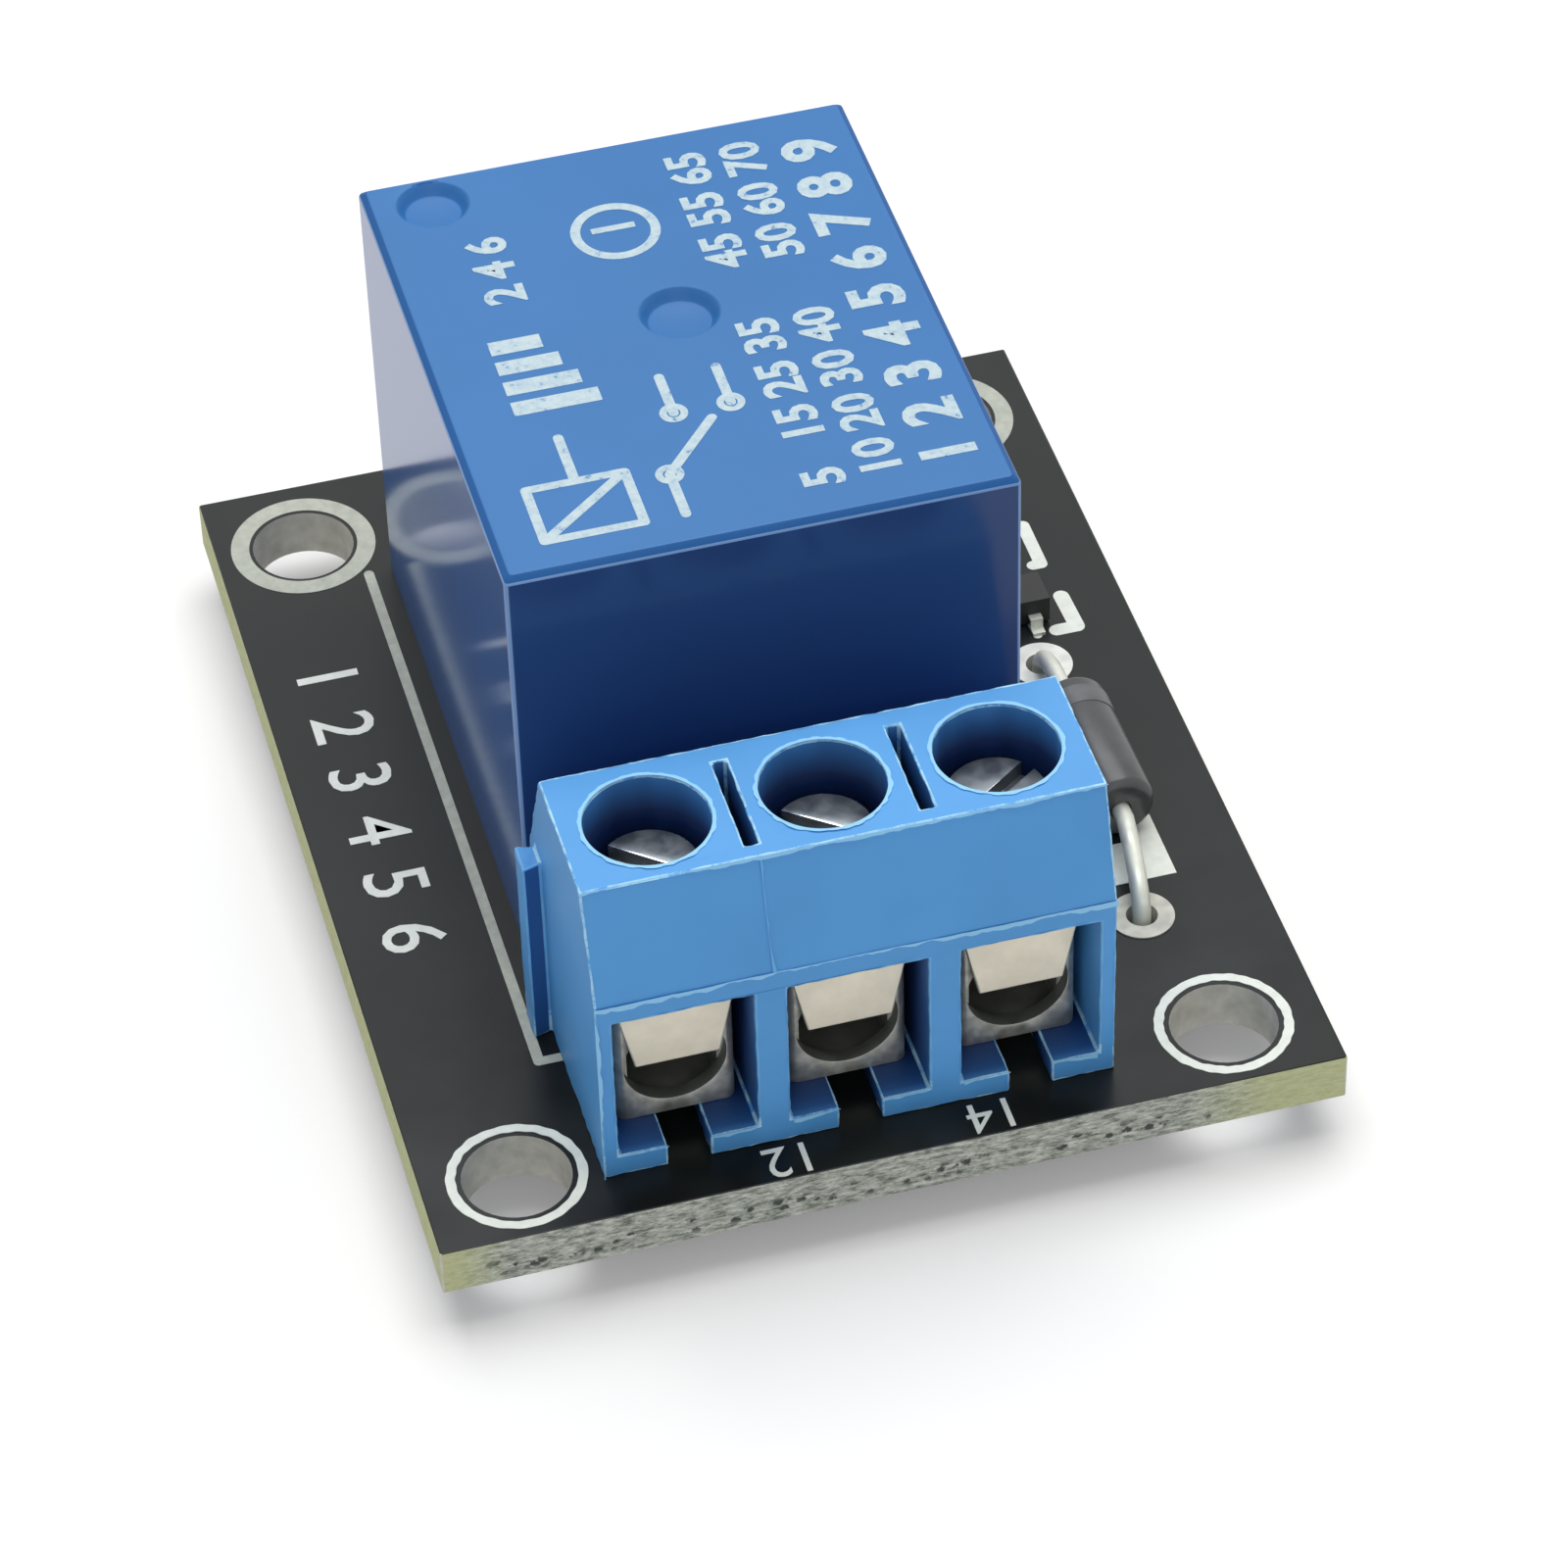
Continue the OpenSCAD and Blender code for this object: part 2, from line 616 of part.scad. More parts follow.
// Spool with two square flanges; the lower one has an ear for each coil pin
module relay_bobbin() {
  bore = core_d + 2 * coil_gap;
  h = pole_z - leg_top - coil_gap;
  ear_y = coil_pin_y - coil_y;
  ear_front = ear_y - ear_w;
  color("#e9e6dc") at_board([relay_mid, coil_y], leg_top) difference() {
    union() {
      cylinder(d = bore + 2 * bobbin_wall, h = h);
      for (z = [0, h - flange_t]) translate([-flange_w / 2, -flange_w / 2, z])
        cube([flange_w, flange_w - flange_trim, flange_t]);
      translate([-pin_side - ear_w / 2, ear_front, 0])
        cube([2 * pin_side + ear_w, flange_w / 2 - flange_trim - ear_front, flange_t]);
      for (s = [-1, 1]) translate([s * pin_side - ear_w / 2, ear_front, 0])
        cube([ear_w, ear_y + ear_w / 2 - ear_front, flange_t]);
    }
    translate([0, 0, -eps]) cylinder(d = bore, h = h + 2 * eps);
    for (s = [-1, 1]) translate([s * pin_side, ear_y, -eps])
      cylinder(d = coil_pin_d + 2 * slip, h = flange_t + 2 * eps);
  }
}

// Copper wire wound on the spool, as one ring
module relay_winding() {
  inner = core_d + 4 * coil_gap + 2 * bobbin_wall;
  color("#b4602c") at_board([relay_mid, coil_y], leg_top + flange_t + coil_gap / 2) difference() {
    cylinder(d = winding_d, h = winding_h);
    translate([0, 0, -eps]) cylinder(d = inner, h = winding_h + 2 * eps);
  }
}

module relay_coil_pins() {
  color("#c8cacb") for (s = [-1, 1]) at_board([relay_mid + s * pin_side, coil_pin_y])
    pin_prism([coil_pin_d], tail_z, leg_top + flange_t + coil_pin_rise);
}

// Turns its children about the armature's hinge edge, from pulled in to open
module armature_pose() {
  at_board([relay_mid, hinge_y], hinge_z) rotate([-armature_open, 0, 0])
    translate([0, 0, -hinge_z]) children();
}

// Steel plate that the pole face pulls down
module relay_armature() {
  color("#a4a9ac") armature_pose()
    translate([-armature_w / 2, -armature_l, armature_low]) cube([armature_w, armature_l, armature_t]);
}

// Spring leaf on top of the armature: it steps down to the contact, and its tail turns down behind the yoke
module relay_contact_leaf() {
  heel = 2 * leaf_tail_gap;
  nose = contact_reach + contact_d / 2 + leaf_nose;
  step_y = -armature_l - leaf_step_gap;
  color("#c8863c") difference() {
    union() {
      armature_pose() side_plate(leaf_w, [
        [heel, leaf_z], [heel, leaf_z + leaf_t], [step_y - leaf_t, leaf_z + leaf_t],
        [step_y - leaf_t, leaf_front_z + leaf_t], [-nose, leaf_front_z + leaf_t],
        [-nose, leaf_front_z], [step_y, leaf_front_z], [step_y, leaf_z]
      ]);
      at_board([relay_mid, hinge_y]) side_plate(leaf_w, [
        [leaf_tail_gap, hinge_z - leaf_tail], [leaf_tail_gap + leaf_t, hinge_z - leaf_tail],
        [heel + 2 * leaf_t, leaf_z + leaf_t / 2], [heel, leaf_z + leaf_t / 2],
        [leaf_tail_gap, hinge_z + leaf_tail_gap]
      ]);
    }
    armature_pose() translate([0, -contact_reach, leaf_front_z - eps])
      cylinder(d = contact_d / 2, h = leaf_t + 2 * eps);
  }
}

// Double-headed silver rivet at the tip of the leaf
module relay_moving_contact() {
  color("#dcdcd8") armature_pose() translate([0, -contact_reach, 0]) {
    translate([0, 0, leaf_front_z - contact_h]) cylinder(d = contact_d, h = contact_h);
    translate([0, 0, leaf_front_z - eps]) cylinder(d = contact_d / 2 - 2 * slip, h = leaf_t + 2 * eps);
    translate([0, 0, leaf_front_z + leaf_t]) cylinder(d = contact_d, h = contact_h);
  }
}

// Fixed contact strip: a pin on side s, a blade up inside the case and an arm across to the middle
module fixed_terminal(s, arm_z) {
  reach = pin_side + relay_pin_t / 2;
  at_board([relay_mid, contact_y]) {
    translate([s * pin_side, 0, 0]) pin_prism([relay_pin_t, relay_pin_w], tail_z, base_top + eps);
    translate([s * pin_side, 0, 0]) pin_prism([relay_pin_t, arm_w], base_top, arm_z + arm_t);
    translate([s > 0 ? -contact_d / 2 : -reach, -arm_w / 2, arm_z])
      cube([reach + contact_d / 2, arm_w, arm_t]);
  }
}

// Normally open contact, below the moving one
module relay_open_terminal() {
  color("#b9925a") fixed_terminal(-1, open_button_top - contact_h - arm_t);
}

module relay_open_contact() {
  color("#dcdcd8") at_board([relay_mid, hinge_y - contact_reach], open_button_top - contact_h)
    cylinder(d = contact_d, h = contact_h);
}

// Normally closed contact, above the moving one
module relay_closed_terminal() {
  color("#b9925a") fixed_terminal(1, closed_button_low + contact_h);
}

module relay_closed_contact() {
  color("#dcdcd8") at_board([relay_mid, hinge_y - contact_reach], closed_button_low)
    cylinder(d = contact_d, h = contact_h);
}

// Common pin, fixed to the back of the yoke
module relay_common_terminal() {
  color("#b9925a") at_board([relay_mid, common_y]) {
    pin_prism([relay_pin_w, relay_pin_t], tail_z, base_top + eps);
    pin_prism([common_w, relay_pin_t], base_top, base_top + common_h);
  }
}

// ---- Terminal block ----

// Outline of the dovetail on one side of the block, seen from above, with its root at x = 0
module dovetail(grow = 0) {
  polygon([
    [eps, rib_at + rib_undercut - grow], [-rib_t - grow, rib_at - grow],
    [-rib_t - grow, rib_at + rib_w + grow], [eps, rib_at + rib_w - rib_undercut + grow]
  ]);
}

// Side profile of the block, from its front face at y = 0
function block_profile() = [
  [0, 0], [block_d, 0], [block_d, back_crease_h], [block_d - back_lean, block_h],
  [front_lean, block_h], [0, crease_h]
];

// One moulding: walls and floor tabs round three wire windows, screwdriver holes, slits,
// a dovetail rib on the left and its groove on the right
module terminal_housing() {
  color("#3f8fdc") at_board([block_x, block_y], board_t) difference() {
    union() {
      rotate([90, 0, 90]) linear_extrude(block_w) polygon(block_profile());
      linear_extrude(crease_h) dovetail();
    }
    translate([block_w, 0, -eps]) linear_extrude(crease_h + groove_gap) dovetail(groove_gap);
    for (i = [0:poles - 1]) translate([(i + 0.5) * pole_pitch, 0, 0]) {
      translate([-window_w / 2, -eps, floor_t])
        cube([window_w, cavity_d + eps, window_top - floor_t]);
      translate([-floor_slot / 2, -eps, -eps])
        cube([floor_slot, cage_pin_y + cage_pin_t / 2 + 2 * slip, floor_t + 2 * eps]);
      translate([0, screw_y, window_top - eps]) cylinder(d = driver_d, h = block_h);
    }
    for (i = [1:poles - 1])
      translate([i * pole_pitch - slit_w / 2, screw_y - slit_l / 2, block_h - slit_depth])
        cube([slit_w, slit_l, slit_depth + eps]);
  }
}

// Folded sheet box with a round wire hole, open above it for the tongue, a tapped top and a solder pin
module clamp_cage(i) {
  color("#c2c4c0") at_board([pole_x(i), block_y]) {
    difference() {
      translate([-cage_w / 2, cage_inset, cage_z]) linear_extrude(cage_h)
        rounded_rect(cage_w, cage_d, cage_fold_r);
      translate([-cage_w / 2 + cage_t, cage_inset + cage_t, cage_z + cage_t])
        cube([cage_w - 2 * cage_t, cage_d - 2 * cage_t, cage_h - cage_t - cage_top_t]);
      translate([0, cage_inset - eps, cage_z + wire_z]) rotate([-90, 0, 0])
        cylinder(d = wire_d, h = cage_t + 2 * eps);
      translate([-tongue_w / 2 - guard_gap, cage_inset - eps, cage_z + wire_z])
        cube([tongue_w + 2 * guard_gap, cage_t + 2 * eps, cage_h - cage_top_t - wire_z]);
      translate([0, screw_y, cage_top - cage_top_t - eps])
        cylinder(d = screw_d + 2 * thread_gap, h = cage_top_t + 2 * eps);
    }
    translate([0, cage_pin_y, 0]) pin_prism([cage_pin_w, cage_pin_t], tail_z, cage_z + eps);
  }
}

// Bent sheet that the screw pushes down: a tongue under the screw and a tapered lip in front of the cage
module wire_guard(i) {
  lip_y = guard_y - block_y;
  color("#d8d3c4") at_board([pole_x(i), block_y]) {
    translate([0, lip_y + guard_t, 0]) rotate([90, 0, 0]) linear_extrude(guard_t) polygon([
      [-guard_low_w / 2, guard_low], [guard_low_w / 2, guard_low],
      [guard_top_w / 2, tongue_top], [-guard_top_w / 2, tongue_top]
    ]);
    translate([-tongue_w / 2, lip_y + guard_t - eps, tongue_top - guard_t])
      cube([tongue_w, guard_gap + cage_t + tongue_l, guard_t]);
  }
}

// Slotted cheese-head screw
module clamp_screw(i) {
  color("#aab0b4") at_board([pole_x(i), block_y + screw_y]) difference() {
    union() {
      translate([0, 0, head_top - head_h]) cylinder(d = head_d, h = head_h);
      translate([0, 0, tongue_top + slip])
        cylinder(d = screw_d, h = head_top - head_h - tongue_top - slip + eps);
    }
    translate([0, 0, head_top - slot_depth]) rotate([0, 0, slot_turns[i]])
      translate([-head_d, -slot_w / 2, 0]) cube([2 * head_d, slot_w, slot_depth + eps]);
  }
}

module clamp_cage_left() { clamp_cage(0); }
module clamp_cage_middle() { clamp_cage(1); }
module clamp_cage_right() { clamp_cage(2); }
module wire_guard_left() { wire_guard(0); }
module wire_guard_middle() { wire_guard(1); }
module wire_guard_right() { wire_guard(2); }
module clamp_screw_left() { clamp_screw(0); }
module clamp_screw_middle() { clamp_screw(1); }
module clamp_screw_right() { clamp_screw(2); }

// ---- Diode ----

// Black cylinder with softened ends, lying on the board
module diode_body() {
  r = diode_d / 2;
  color("#1b1b1d") at_board(diode_at, diode_z) rotate([0, 0, diode_turn]) rotate([90, 0, 0])
    rotate_extrude() polygon([
      [lead_d / 2 + slip, -diode_l / 2], [r - diode_edge, -diode_l / 2], [r, -diode_l / 2 + diode_edge],
      [r, diode_l / 2 - diode_edge], [r - diode_edge, diode_l / 2], [lead_d / 2 + slip, diode_l / 2]
    ]);
}

// Points of a quarter turn from the body's axis down into a hole; side is 1 in front and -1 behind
function lead_points(hole, side) =
  let (
    root = diode_at + side * diode_dir * slip,
    out = diode_at + side * diode_dir * (diode_l / 2 + lead_straight)
  )
  concat(
    [[root.x, root.y, diode_z]],
    [for (a = [0:90 / lead_steps:90])
      let (place = out + (hole - out) * sin(a)) [place.x, place.y, board_t + (diode_z - board_t) * cos(a)]],
    [[hole.x, hole.y, 0], [hole.x, hole.y, tail_z]]
  );

module diode_lead(hole, side) {
  color("#c4c7c8") at_board([0, 0]) wire(lead_points(hole, side), lead_d);
}

module diode_lead_front() { diode_lead(diode_front, 1); }
module diode_lead_back() { diode_lead(diode_back, -1); }

// ---- Pin header ----

// Plastic strip of three cells with bevelled corners, lying on the board's back edge
module header_block() {
  block = header_block;
  cell = [
    [0, header_bevel], [header_bevel, 0], [header_pitch - header_bevel, 0], [header_pitch, header_bevel],
    [header_pitch, block - header_bevel], [header_pitch - header_bevel, block], [header_bevel, block],
    [0, block - header_bevel]
  ];
  color("#161718") difference() {
    for (i = [-1:1])
      at_board([header_x + (i - 0.5) * header_pitch, header_y + header_leg + block], board_t)
        rotate([90, 0, 0]) linear_extrude(block) polygon(cell);
    for (i = [-1:1]) at_board([header_x + i * header_pitch, header_y + header_leg - eps], header_z)
      translate([-header_pin / 2 - slip, 0, -header_pin / 2 - slip])
        cube([header_pin + 2 * slip, block + 2 * eps, header_pin + 2 * slip]);
  }
}

// Square pins: down through the board, one bend, then back through the block
module header_pins() {
  s = header_pin / 2;
  r = header_bend;
  inner = header_bend - header_pin;
  tip = header_leg + header_block + header_reach;
  color("#cfae5a") for (i = [-1:1]) at_board([header_x + i * header_pitch, header_y])
    side_plate(header_pin, concat(
      [[s, tail_z], [s, header_z - s - inner]],
      [for (a = [180:-30:90]) [s + inner * (1 + cos(a)), header_z - s - inner * (1 - sin(a))]],
      [[tip, header_z - s], [tip, header_z + s]],
      [for (a = [90:30:180]) [-s + r * (1 + cos(a)), header_z + s - r * (1 - sin(a))]],
      [[-s, tail_z]]
    ));
}

// ---- Surface-mount parts ----

module transistor_body() {
  color("#17181a") at_board(sot_at, board_t + sot_lift)
    translate([-sot_l / 2, -sot_w / 2, 0]) cube([sot_l, sot_w, sot_h - sot_lift]);
}

// Three gull-wing leads: two in front, one behind
module transistor_leads() {
  t = sot_lead_t;
  root = sot_w / 2;
  bend = root + sot_lead_reach / 2;
  tip = root + sot_lead_reach;
  shape = [
    [root, sot_lead_h], [bend, sot_lead_h], [bend, t], [tip, t], [tip, 0],
    [bend - t, 0], [bend - t, sot_lead_h - t], [root, sot_lead_h - t]
  ];
  color("#c3c6c8") at_board(sot_at, board_t) {
    side_plate(sot_lead_w, shape);
    for (s = [-1, 1]) translate([s * sot_pitch / 2, 0, 0]) rotate([0, 0, 180]) side_plate(sot_lead_w, shape);
  }
}

// Ceramic middle of a chip part, between its end caps, lying along y
module chip_body(place) {
  l = chip_l - 2 * cap_l;
  at_board(place, board_t) translate([-chip_w / 2, -l / 2, 0]) cube([chip_w, l, chip_h]);
}

module chip_caps(place) {
  at_board(place, board_t) for (s = [-1, 1])
    translate([-chip_w / 2, s * (chip_l - cap_l) / 2 - cap_l / 2, 0]) cube([chip_w, cap_l, chip_h]);
}

module base_resistor() { color("#232425") chip_body(base_resistor_at); }
module base_resistor_caps() { color("#c9ccce") chip_caps(base_resistor_at); }
module led_resistor() { color("#232425") chip_body(led_resistor_at); }
module led_resistor_caps() { color("#c9ccce") chip_caps(led_resistor_at); }
module indicator_led_caps() { color("#cfc79a") chip_caps(led_at); }

// Clear lens on a thin carrier
module indicator_led() {
  color("#d9d4b8") chip_body(led_at);
}

circuit_board();
copper_pads();
solder_joints();
relay_cover();
relay_base();
relay_yoke();
relay_core();
relay_bobbin();
relay_winding();
relay_coil_pins();
relay_armature();
relay_contact_leaf();
relay_moving_contact();
relay_open_terminal();
relay_open_contact();
relay_closed_terminal();
relay_closed_contact();
relay_common_terminal();
terminal_housing();
clamp_cage_left();
clamp_cage_middle();
clamp_cage_right();
wire_guard_left();
wire_guard_middle();
wire_guard_right();
clamp_screw_left();
clamp_screw_middle();
clamp_screw_right();
diode_body();
diode_lead_front();
diode_lead_back();
header_block();
header_pins();
transistor_body();
transistor_leads();
base_resistor();
base_resistor_caps();
led_resistor();
led_resistor_caps();
indicator_led();
indicator_led_caps();
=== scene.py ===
# %% [markdown]
# # A relay module, dressed for its portrait
# The object is a small black circuit board that carries a blue cube relay, a blue three-pole
# screw terminal, a glass-black diode and a few tiny parts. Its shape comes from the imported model,
# which this script loads as a fixed frame. What is added here is the finish: softened moulding edges,
# the white print, the sawn edge of the laminate, and the light that shows them.

# %% Load the frame
import math
import random

import bmesh
import bpy
from mathutils import Matrix, Vector


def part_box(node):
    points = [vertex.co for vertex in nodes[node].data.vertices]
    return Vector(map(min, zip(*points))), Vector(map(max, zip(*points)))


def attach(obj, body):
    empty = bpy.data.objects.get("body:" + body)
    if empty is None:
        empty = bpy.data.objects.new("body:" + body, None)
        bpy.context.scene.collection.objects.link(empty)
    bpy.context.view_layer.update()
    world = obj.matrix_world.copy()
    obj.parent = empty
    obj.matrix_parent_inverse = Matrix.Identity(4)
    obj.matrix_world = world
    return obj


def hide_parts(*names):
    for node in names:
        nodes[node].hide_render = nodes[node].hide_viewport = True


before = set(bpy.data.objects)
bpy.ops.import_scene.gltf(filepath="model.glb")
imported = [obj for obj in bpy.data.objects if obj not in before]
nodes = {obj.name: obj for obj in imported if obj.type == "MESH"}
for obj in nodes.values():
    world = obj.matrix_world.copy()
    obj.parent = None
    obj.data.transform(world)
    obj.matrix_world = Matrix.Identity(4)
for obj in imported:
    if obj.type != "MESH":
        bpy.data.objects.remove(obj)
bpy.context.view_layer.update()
print("nodes in the frame:", len(nodes))

# %% [markdown]
# ## Places that everything else is worked out from
# Blender works in metres, but a board this small is easier to think about in millimetres, so
# one factor turns millimetres into metres. The corners of the main pieces come from the frame, and
# every later place is counted from them. The terminal has three poles, and whatever repeats from
# pole to pole is made by a loop over their names.

# %% Corners of the main pieces
MM = 0.001
TOUCHING = 0.01 * MM
SIDES = ("left", "middle", "right")
board_low, board_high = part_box("circuit_board")
relay_low, relay_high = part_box("relay_cover")
block_low, block_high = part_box("terminal_housing")
diode_low, diode_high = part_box("diode_body")
board_top = board_high.z
print("board in mm:", [round(v / MM, 2) for v in board_high - board_low])


def on_board(x, y, z=0.0):
    """A place in metres from millimetres counted from the board's front left corner."""
    return Vector((board_low.x + x * MM, board_low.y + y * MM, board_top + z * MM))


def on_relay(x, y, z=0.0):
    """A place in metres from millimetres counted from the front left corner of the relay's roof."""
    return Vector((relay_low.x + x * MM, relay_low.y + y * MM, relay_high.z + z * MM))


# %% [markdown]
# ## The camera
# The board is looked down on from the front, a little from the left, through a long lens. A long
# lens keeps the cube relay from looking pinched. The camera is aimed with a tracking quaternion and
# then rolled by a hair, because the board was set down slightly off level.

# %% Camera
CAMERA_PLACE = Vector((-32.56, -132.92, 128.96)) * MM
CAMERA_TARGET = Vector((1.07, -0.79, 1.6)) * MM
CAMERA_ROLL = math.radians(-1.8)
LENS = 140.9


def aimed(place, target):
    """The turn and place of a camera or a lamp that stands at place and looks at target."""
    turn = (target - place).to_track_quat("-Z", "Y")
    return Matrix.Translation(place) @ turn.to_matrix().to_4x4()


def make_camera():
    """Adds the camera, aimed and rolled, and makes it the scene's own."""
    data = bpy.data.cameras.new("portrait_camera")
    data.lens = LENS
    data.clip_start = 0.01
    camera = bpy.data.objects.new("portrait_camera", data)
    bpy.context.scene.collection.objects.link(camera)
    camera.matrix_world = aimed(CAMERA_PLACE, CAMERA_TARGET) @ Matrix.Rotation(CAMERA_ROLL, 4, "Z")
    bpy.context.scene.camera = camera


make_camera()
print("camera distance in mm:", round((CAMERA_TARGET - CAMERA_PLACE).length / MM, 1))

# %% [markdown]
# ## Helpers for materials
# A finish starts as a Principled shader. Two small helpers cover most of what moulded and plated
# parts need: a soft mottling of the colour, and a fine bump. Both read Object coordinates, so the
# pattern stays on the piece when it moves.


# %% Material helpers
def srgb(red, green, blue):
    """A linear colour from the 0 to 255 values that a colour picker shows."""
    def linear(value):
        value /= 255
        return value / 12.92 if value <= 0.04045 else ((value + 0.055) / 1.055) ** 2.4
    return (linear(red), linear(green), linear(blue), 1.0)


def finish(name, colour, roughness, metallic=0.0, specular=0.5):
    """A new material with a Principled shader; colour is linear."""
    material = bpy.data.materials.new(name)
    material.use_nodes = True
    shader = material.node_tree.nodes["Principled BSDF"]
    shader.inputs["Base Color"].default_value = colour
    shader.inputs["Roughness"].default_value = roughness
    shader.inputs["Metallic"].default_value = metallic
    shader.inputs["Specular IOR Level"].default_value = specular
    return material


def add_node(material, kind, **sockets):
    """Adds a shader node and sets its inputs by name, with spaces written as underscores."""
    node = material.node_tree.nodes.new(kind)
    for key, value in sockets.items():
        node.inputs[key.replace("_", " ")].default_value = value
    return node


def place_on_piece(material, stretch=(1, 1, 1)):
    """Object coordinates in metres, stretched along the axes."""
    coordinates = material.node_tree.nodes.new("ShaderNodeTexCoord")
    mapping = add_node(material, "ShaderNodeMapping", Scale=stretch)
    material.node_tree.links.new(coordinates.outputs["Object"], mapping.inputs["Vector"])
    return mapping.outputs["Vector"]


def noise(material, size_mm, detail=3.0, roughness=0.55, stretch=(1, 1, 1)):
    """Noise whose blotches are about size_mm across."""
    scale = 1 / (size_mm * MM)
    texture = add_node(material, "ShaderNodeTexNoise", Scale=scale, Detail=detail, Roughness=roughness)
    material.node_tree.links.new(place_on_piece(material, stretch), texture.inputs["Vector"])
    return texture.outputs["Fac"]


def ramp(material, value, stops):
    """Colours laid along a value from 0 to 1."""
    node = material.node_tree.nodes.new("ShaderNodeValToRGB")
    elements = node.color_ramp.elements
    while len(elements) < len(stops):
        elements.new(0.5)
    for element, (position, colour) in zip(elements, stops):
        element.position = position
        element.color = colour
    material.node_tree.links.new(value, node.inputs["Fac"])
    return node.outputs["Color"]


def feed(material, output, socket):
    """Links an output to the Principled shader."""
    shader = material.node_tree.nodes["Principled BSDF"]
    material.node_tree.links.new(output, shader.inputs[socket])


def shade(colour, factor):
    """The same colour, lighter or darker."""
    return tuple(min(1.0, c * factor) for c in colour[:3]) + (1.0,)


def mottle(material, colour, size_mm, depth):
    """Lets the colour drift a little across the surface."""
    stops = [(0.3, shade(colour, 1 - depth)), (0.7, shade(colour, 1 + depth))]
    feed(material, ramp(material, noise(material, size_mm), stops), "Base Color")


def grain(material, size_mm, height_mm, strength, stretch=(1, 1, 1)):
    """Adds a fine bump."""
    bump = add_node(material, "ShaderNodeBump", Strength=strength, Distance=height_mm * MM)
    material.node_tree.links.new(noise(material, size_mm, 4.0, 0.6, stretch), bump.inputs["Height"])
    feed(material, bump.outputs["Normal"], "Normal")


def map_range(material, value, low, high, to_low=0.0, to_high=1.0):
    """Maps a value between two limits, clamped; low may be above high, which turns it round."""
    node = add_node(
        material, "ShaderNodeMapRange", From_Min=low, From_Max=high, To_Min=to_low, To_Max=to_high
    )
    material.node_tree.links.new(value, node.inputs["Value"])
    return node.outputs["Result"]


def vary_gloss(material, size_mm, low, high):
    """Lets the roughness drift between two values."""
    feed(material, map_range(material, noise(material, size_mm), 0.35, 0.65, low, high), "Roughness")


def combine(material, operation, first, second):
    """One step of arithmetic; each side is an output or a number."""
    node = material.node_tree.nodes.new("ShaderNodeMath")
    node.operation = operation
    for socket, value in zip(node.inputs, (first, second)):
        if isinstance(value, (int, float)):
            socket.default_value = value
        else:
            material.node_tree.links.new(value, socket)
    return node.outputs["Value"]


def product(material, first, *others):
    """All the values multiplied together."""
    for value in others:
        first = combine(material, "MULTIPLY", first, value)
    return first


def blend(material, amount, first, second):
    """Mixes two colours; each is an output or a linear colour."""
    node = material.node_tree.nodes.new("ShaderNodeMix")
    node.data_type = "RGBA"
    material.node_tree.links.new(amount, node.inputs["Factor"])
    for socket, value in zip(("A", "B"), (first, second)):
        target = next(entry for entry in node.inputs if entry.name == socket and entry.type == "RGBA")
        if isinstance(value, tuple):
            target.default_value = value
        else:
            material.node_tree.links.new(value, target)
    return next(entry for entry in node.outputs if entry.type == "RGBA")


def axes(material):
    """The x, y and z of Object coordinates, as three outputs."""
    node = material.node_tree.nodes.new("ShaderNodeSeparateXYZ")
    material.node_tree.links.new(place_on_piece(material), node.inputs["Vector"])
    return node.outputs["X"], node.outputs["Y"], node.outputs["Z"]


# %% [markdown]
# ## Helpers for meshes
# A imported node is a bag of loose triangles. To soften its edges, a copy is merged and its flat
# faces are dissolved back into single ones, and then its sharp edges are bevelled. The copy
# stands in for the node, so the size and place stay those of the model. A smooth face next to a
# large flat one would pull its shading askew, so the borders of the large faces are marked sharp.


# %% Mesh helpers
SMOOTH_ANGLE = math.radians(40)
FLAT_TURN = math.radians(2)
FLAT_AREA = 3.0 * MM * MM
MERGE_DISTANCE = 0.0005 * MM
COPLANAR = math.radians(0.4)
BEVEL_STEPS = 2


def unique(items):
    """Each item once, in its first order; a set of mesh parts has another order on each run."""
    return list(dict.fromkeys(items))


def mark_sharp(shape):
    """Smooths what is curved, and keeps each large flat face flat up to its own border."""
    shape.normal_update()
    large = {face for face in shape.faces if face.calc_area() > FLAT_AREA}
    for face in shape.faces:
        face.smooth = True
    for edge in shape.edges:
        if len(edge.link_faces) == 2:
            least = FLAT_TURN if large.intersection(edge.link_faces) else SMOOTH_ANGLE
            edge.smooth = edge.calc_face_angle(0) < least


def write_piece(name, shape, materials, body="module", replaces=None, smooth=True):
    """Turns a bmesh into a piece at the origin on a body, and drops the normals of the old node."""
    if smooth:
        mark_sharp(shape)
    mesh = bpy.data.meshes.new(name)
    shape.to_mesh(mesh)
    shape.free()
    if "custom_normal" in mesh.attributes:
        mesh.attributes.remove(mesh.attributes["custom_normal"])
    for material in materials if isinstance(materials, list) else [materials]:
        mesh.materials.append(material)
    piece = bpy.data.objects.new(name, mesh)
    bpy.context.scene.collection.objects.link(piece)
    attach(piece, body)
    if replaces:
        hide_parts(replaces)
    return piece


def merged_copy(node):
    """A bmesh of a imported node, with its triangles joined and its flat faces made whole."""
    shape = bmesh.new()
    shape.from_mesh(nodes[node].data)
    bmesh.ops.remove_doubles(shape, verts=shape.verts, dist=MERGE_DISTANCE)
    bmesh.ops.dissolve_limit(
        shape, angle_limit=COPLANAR, verts=shape.verts, edges=shape.edges, delimit={"NORMAL"}
    )
    return shape


def turns(edge, least_angle):
    """Whether two faces meet at an edge and turn by more than least_angle, in degrees."""
    return len(edge.link_faces) == 2 and edge.calc_face_angle(0) > math.radians(least_angle)


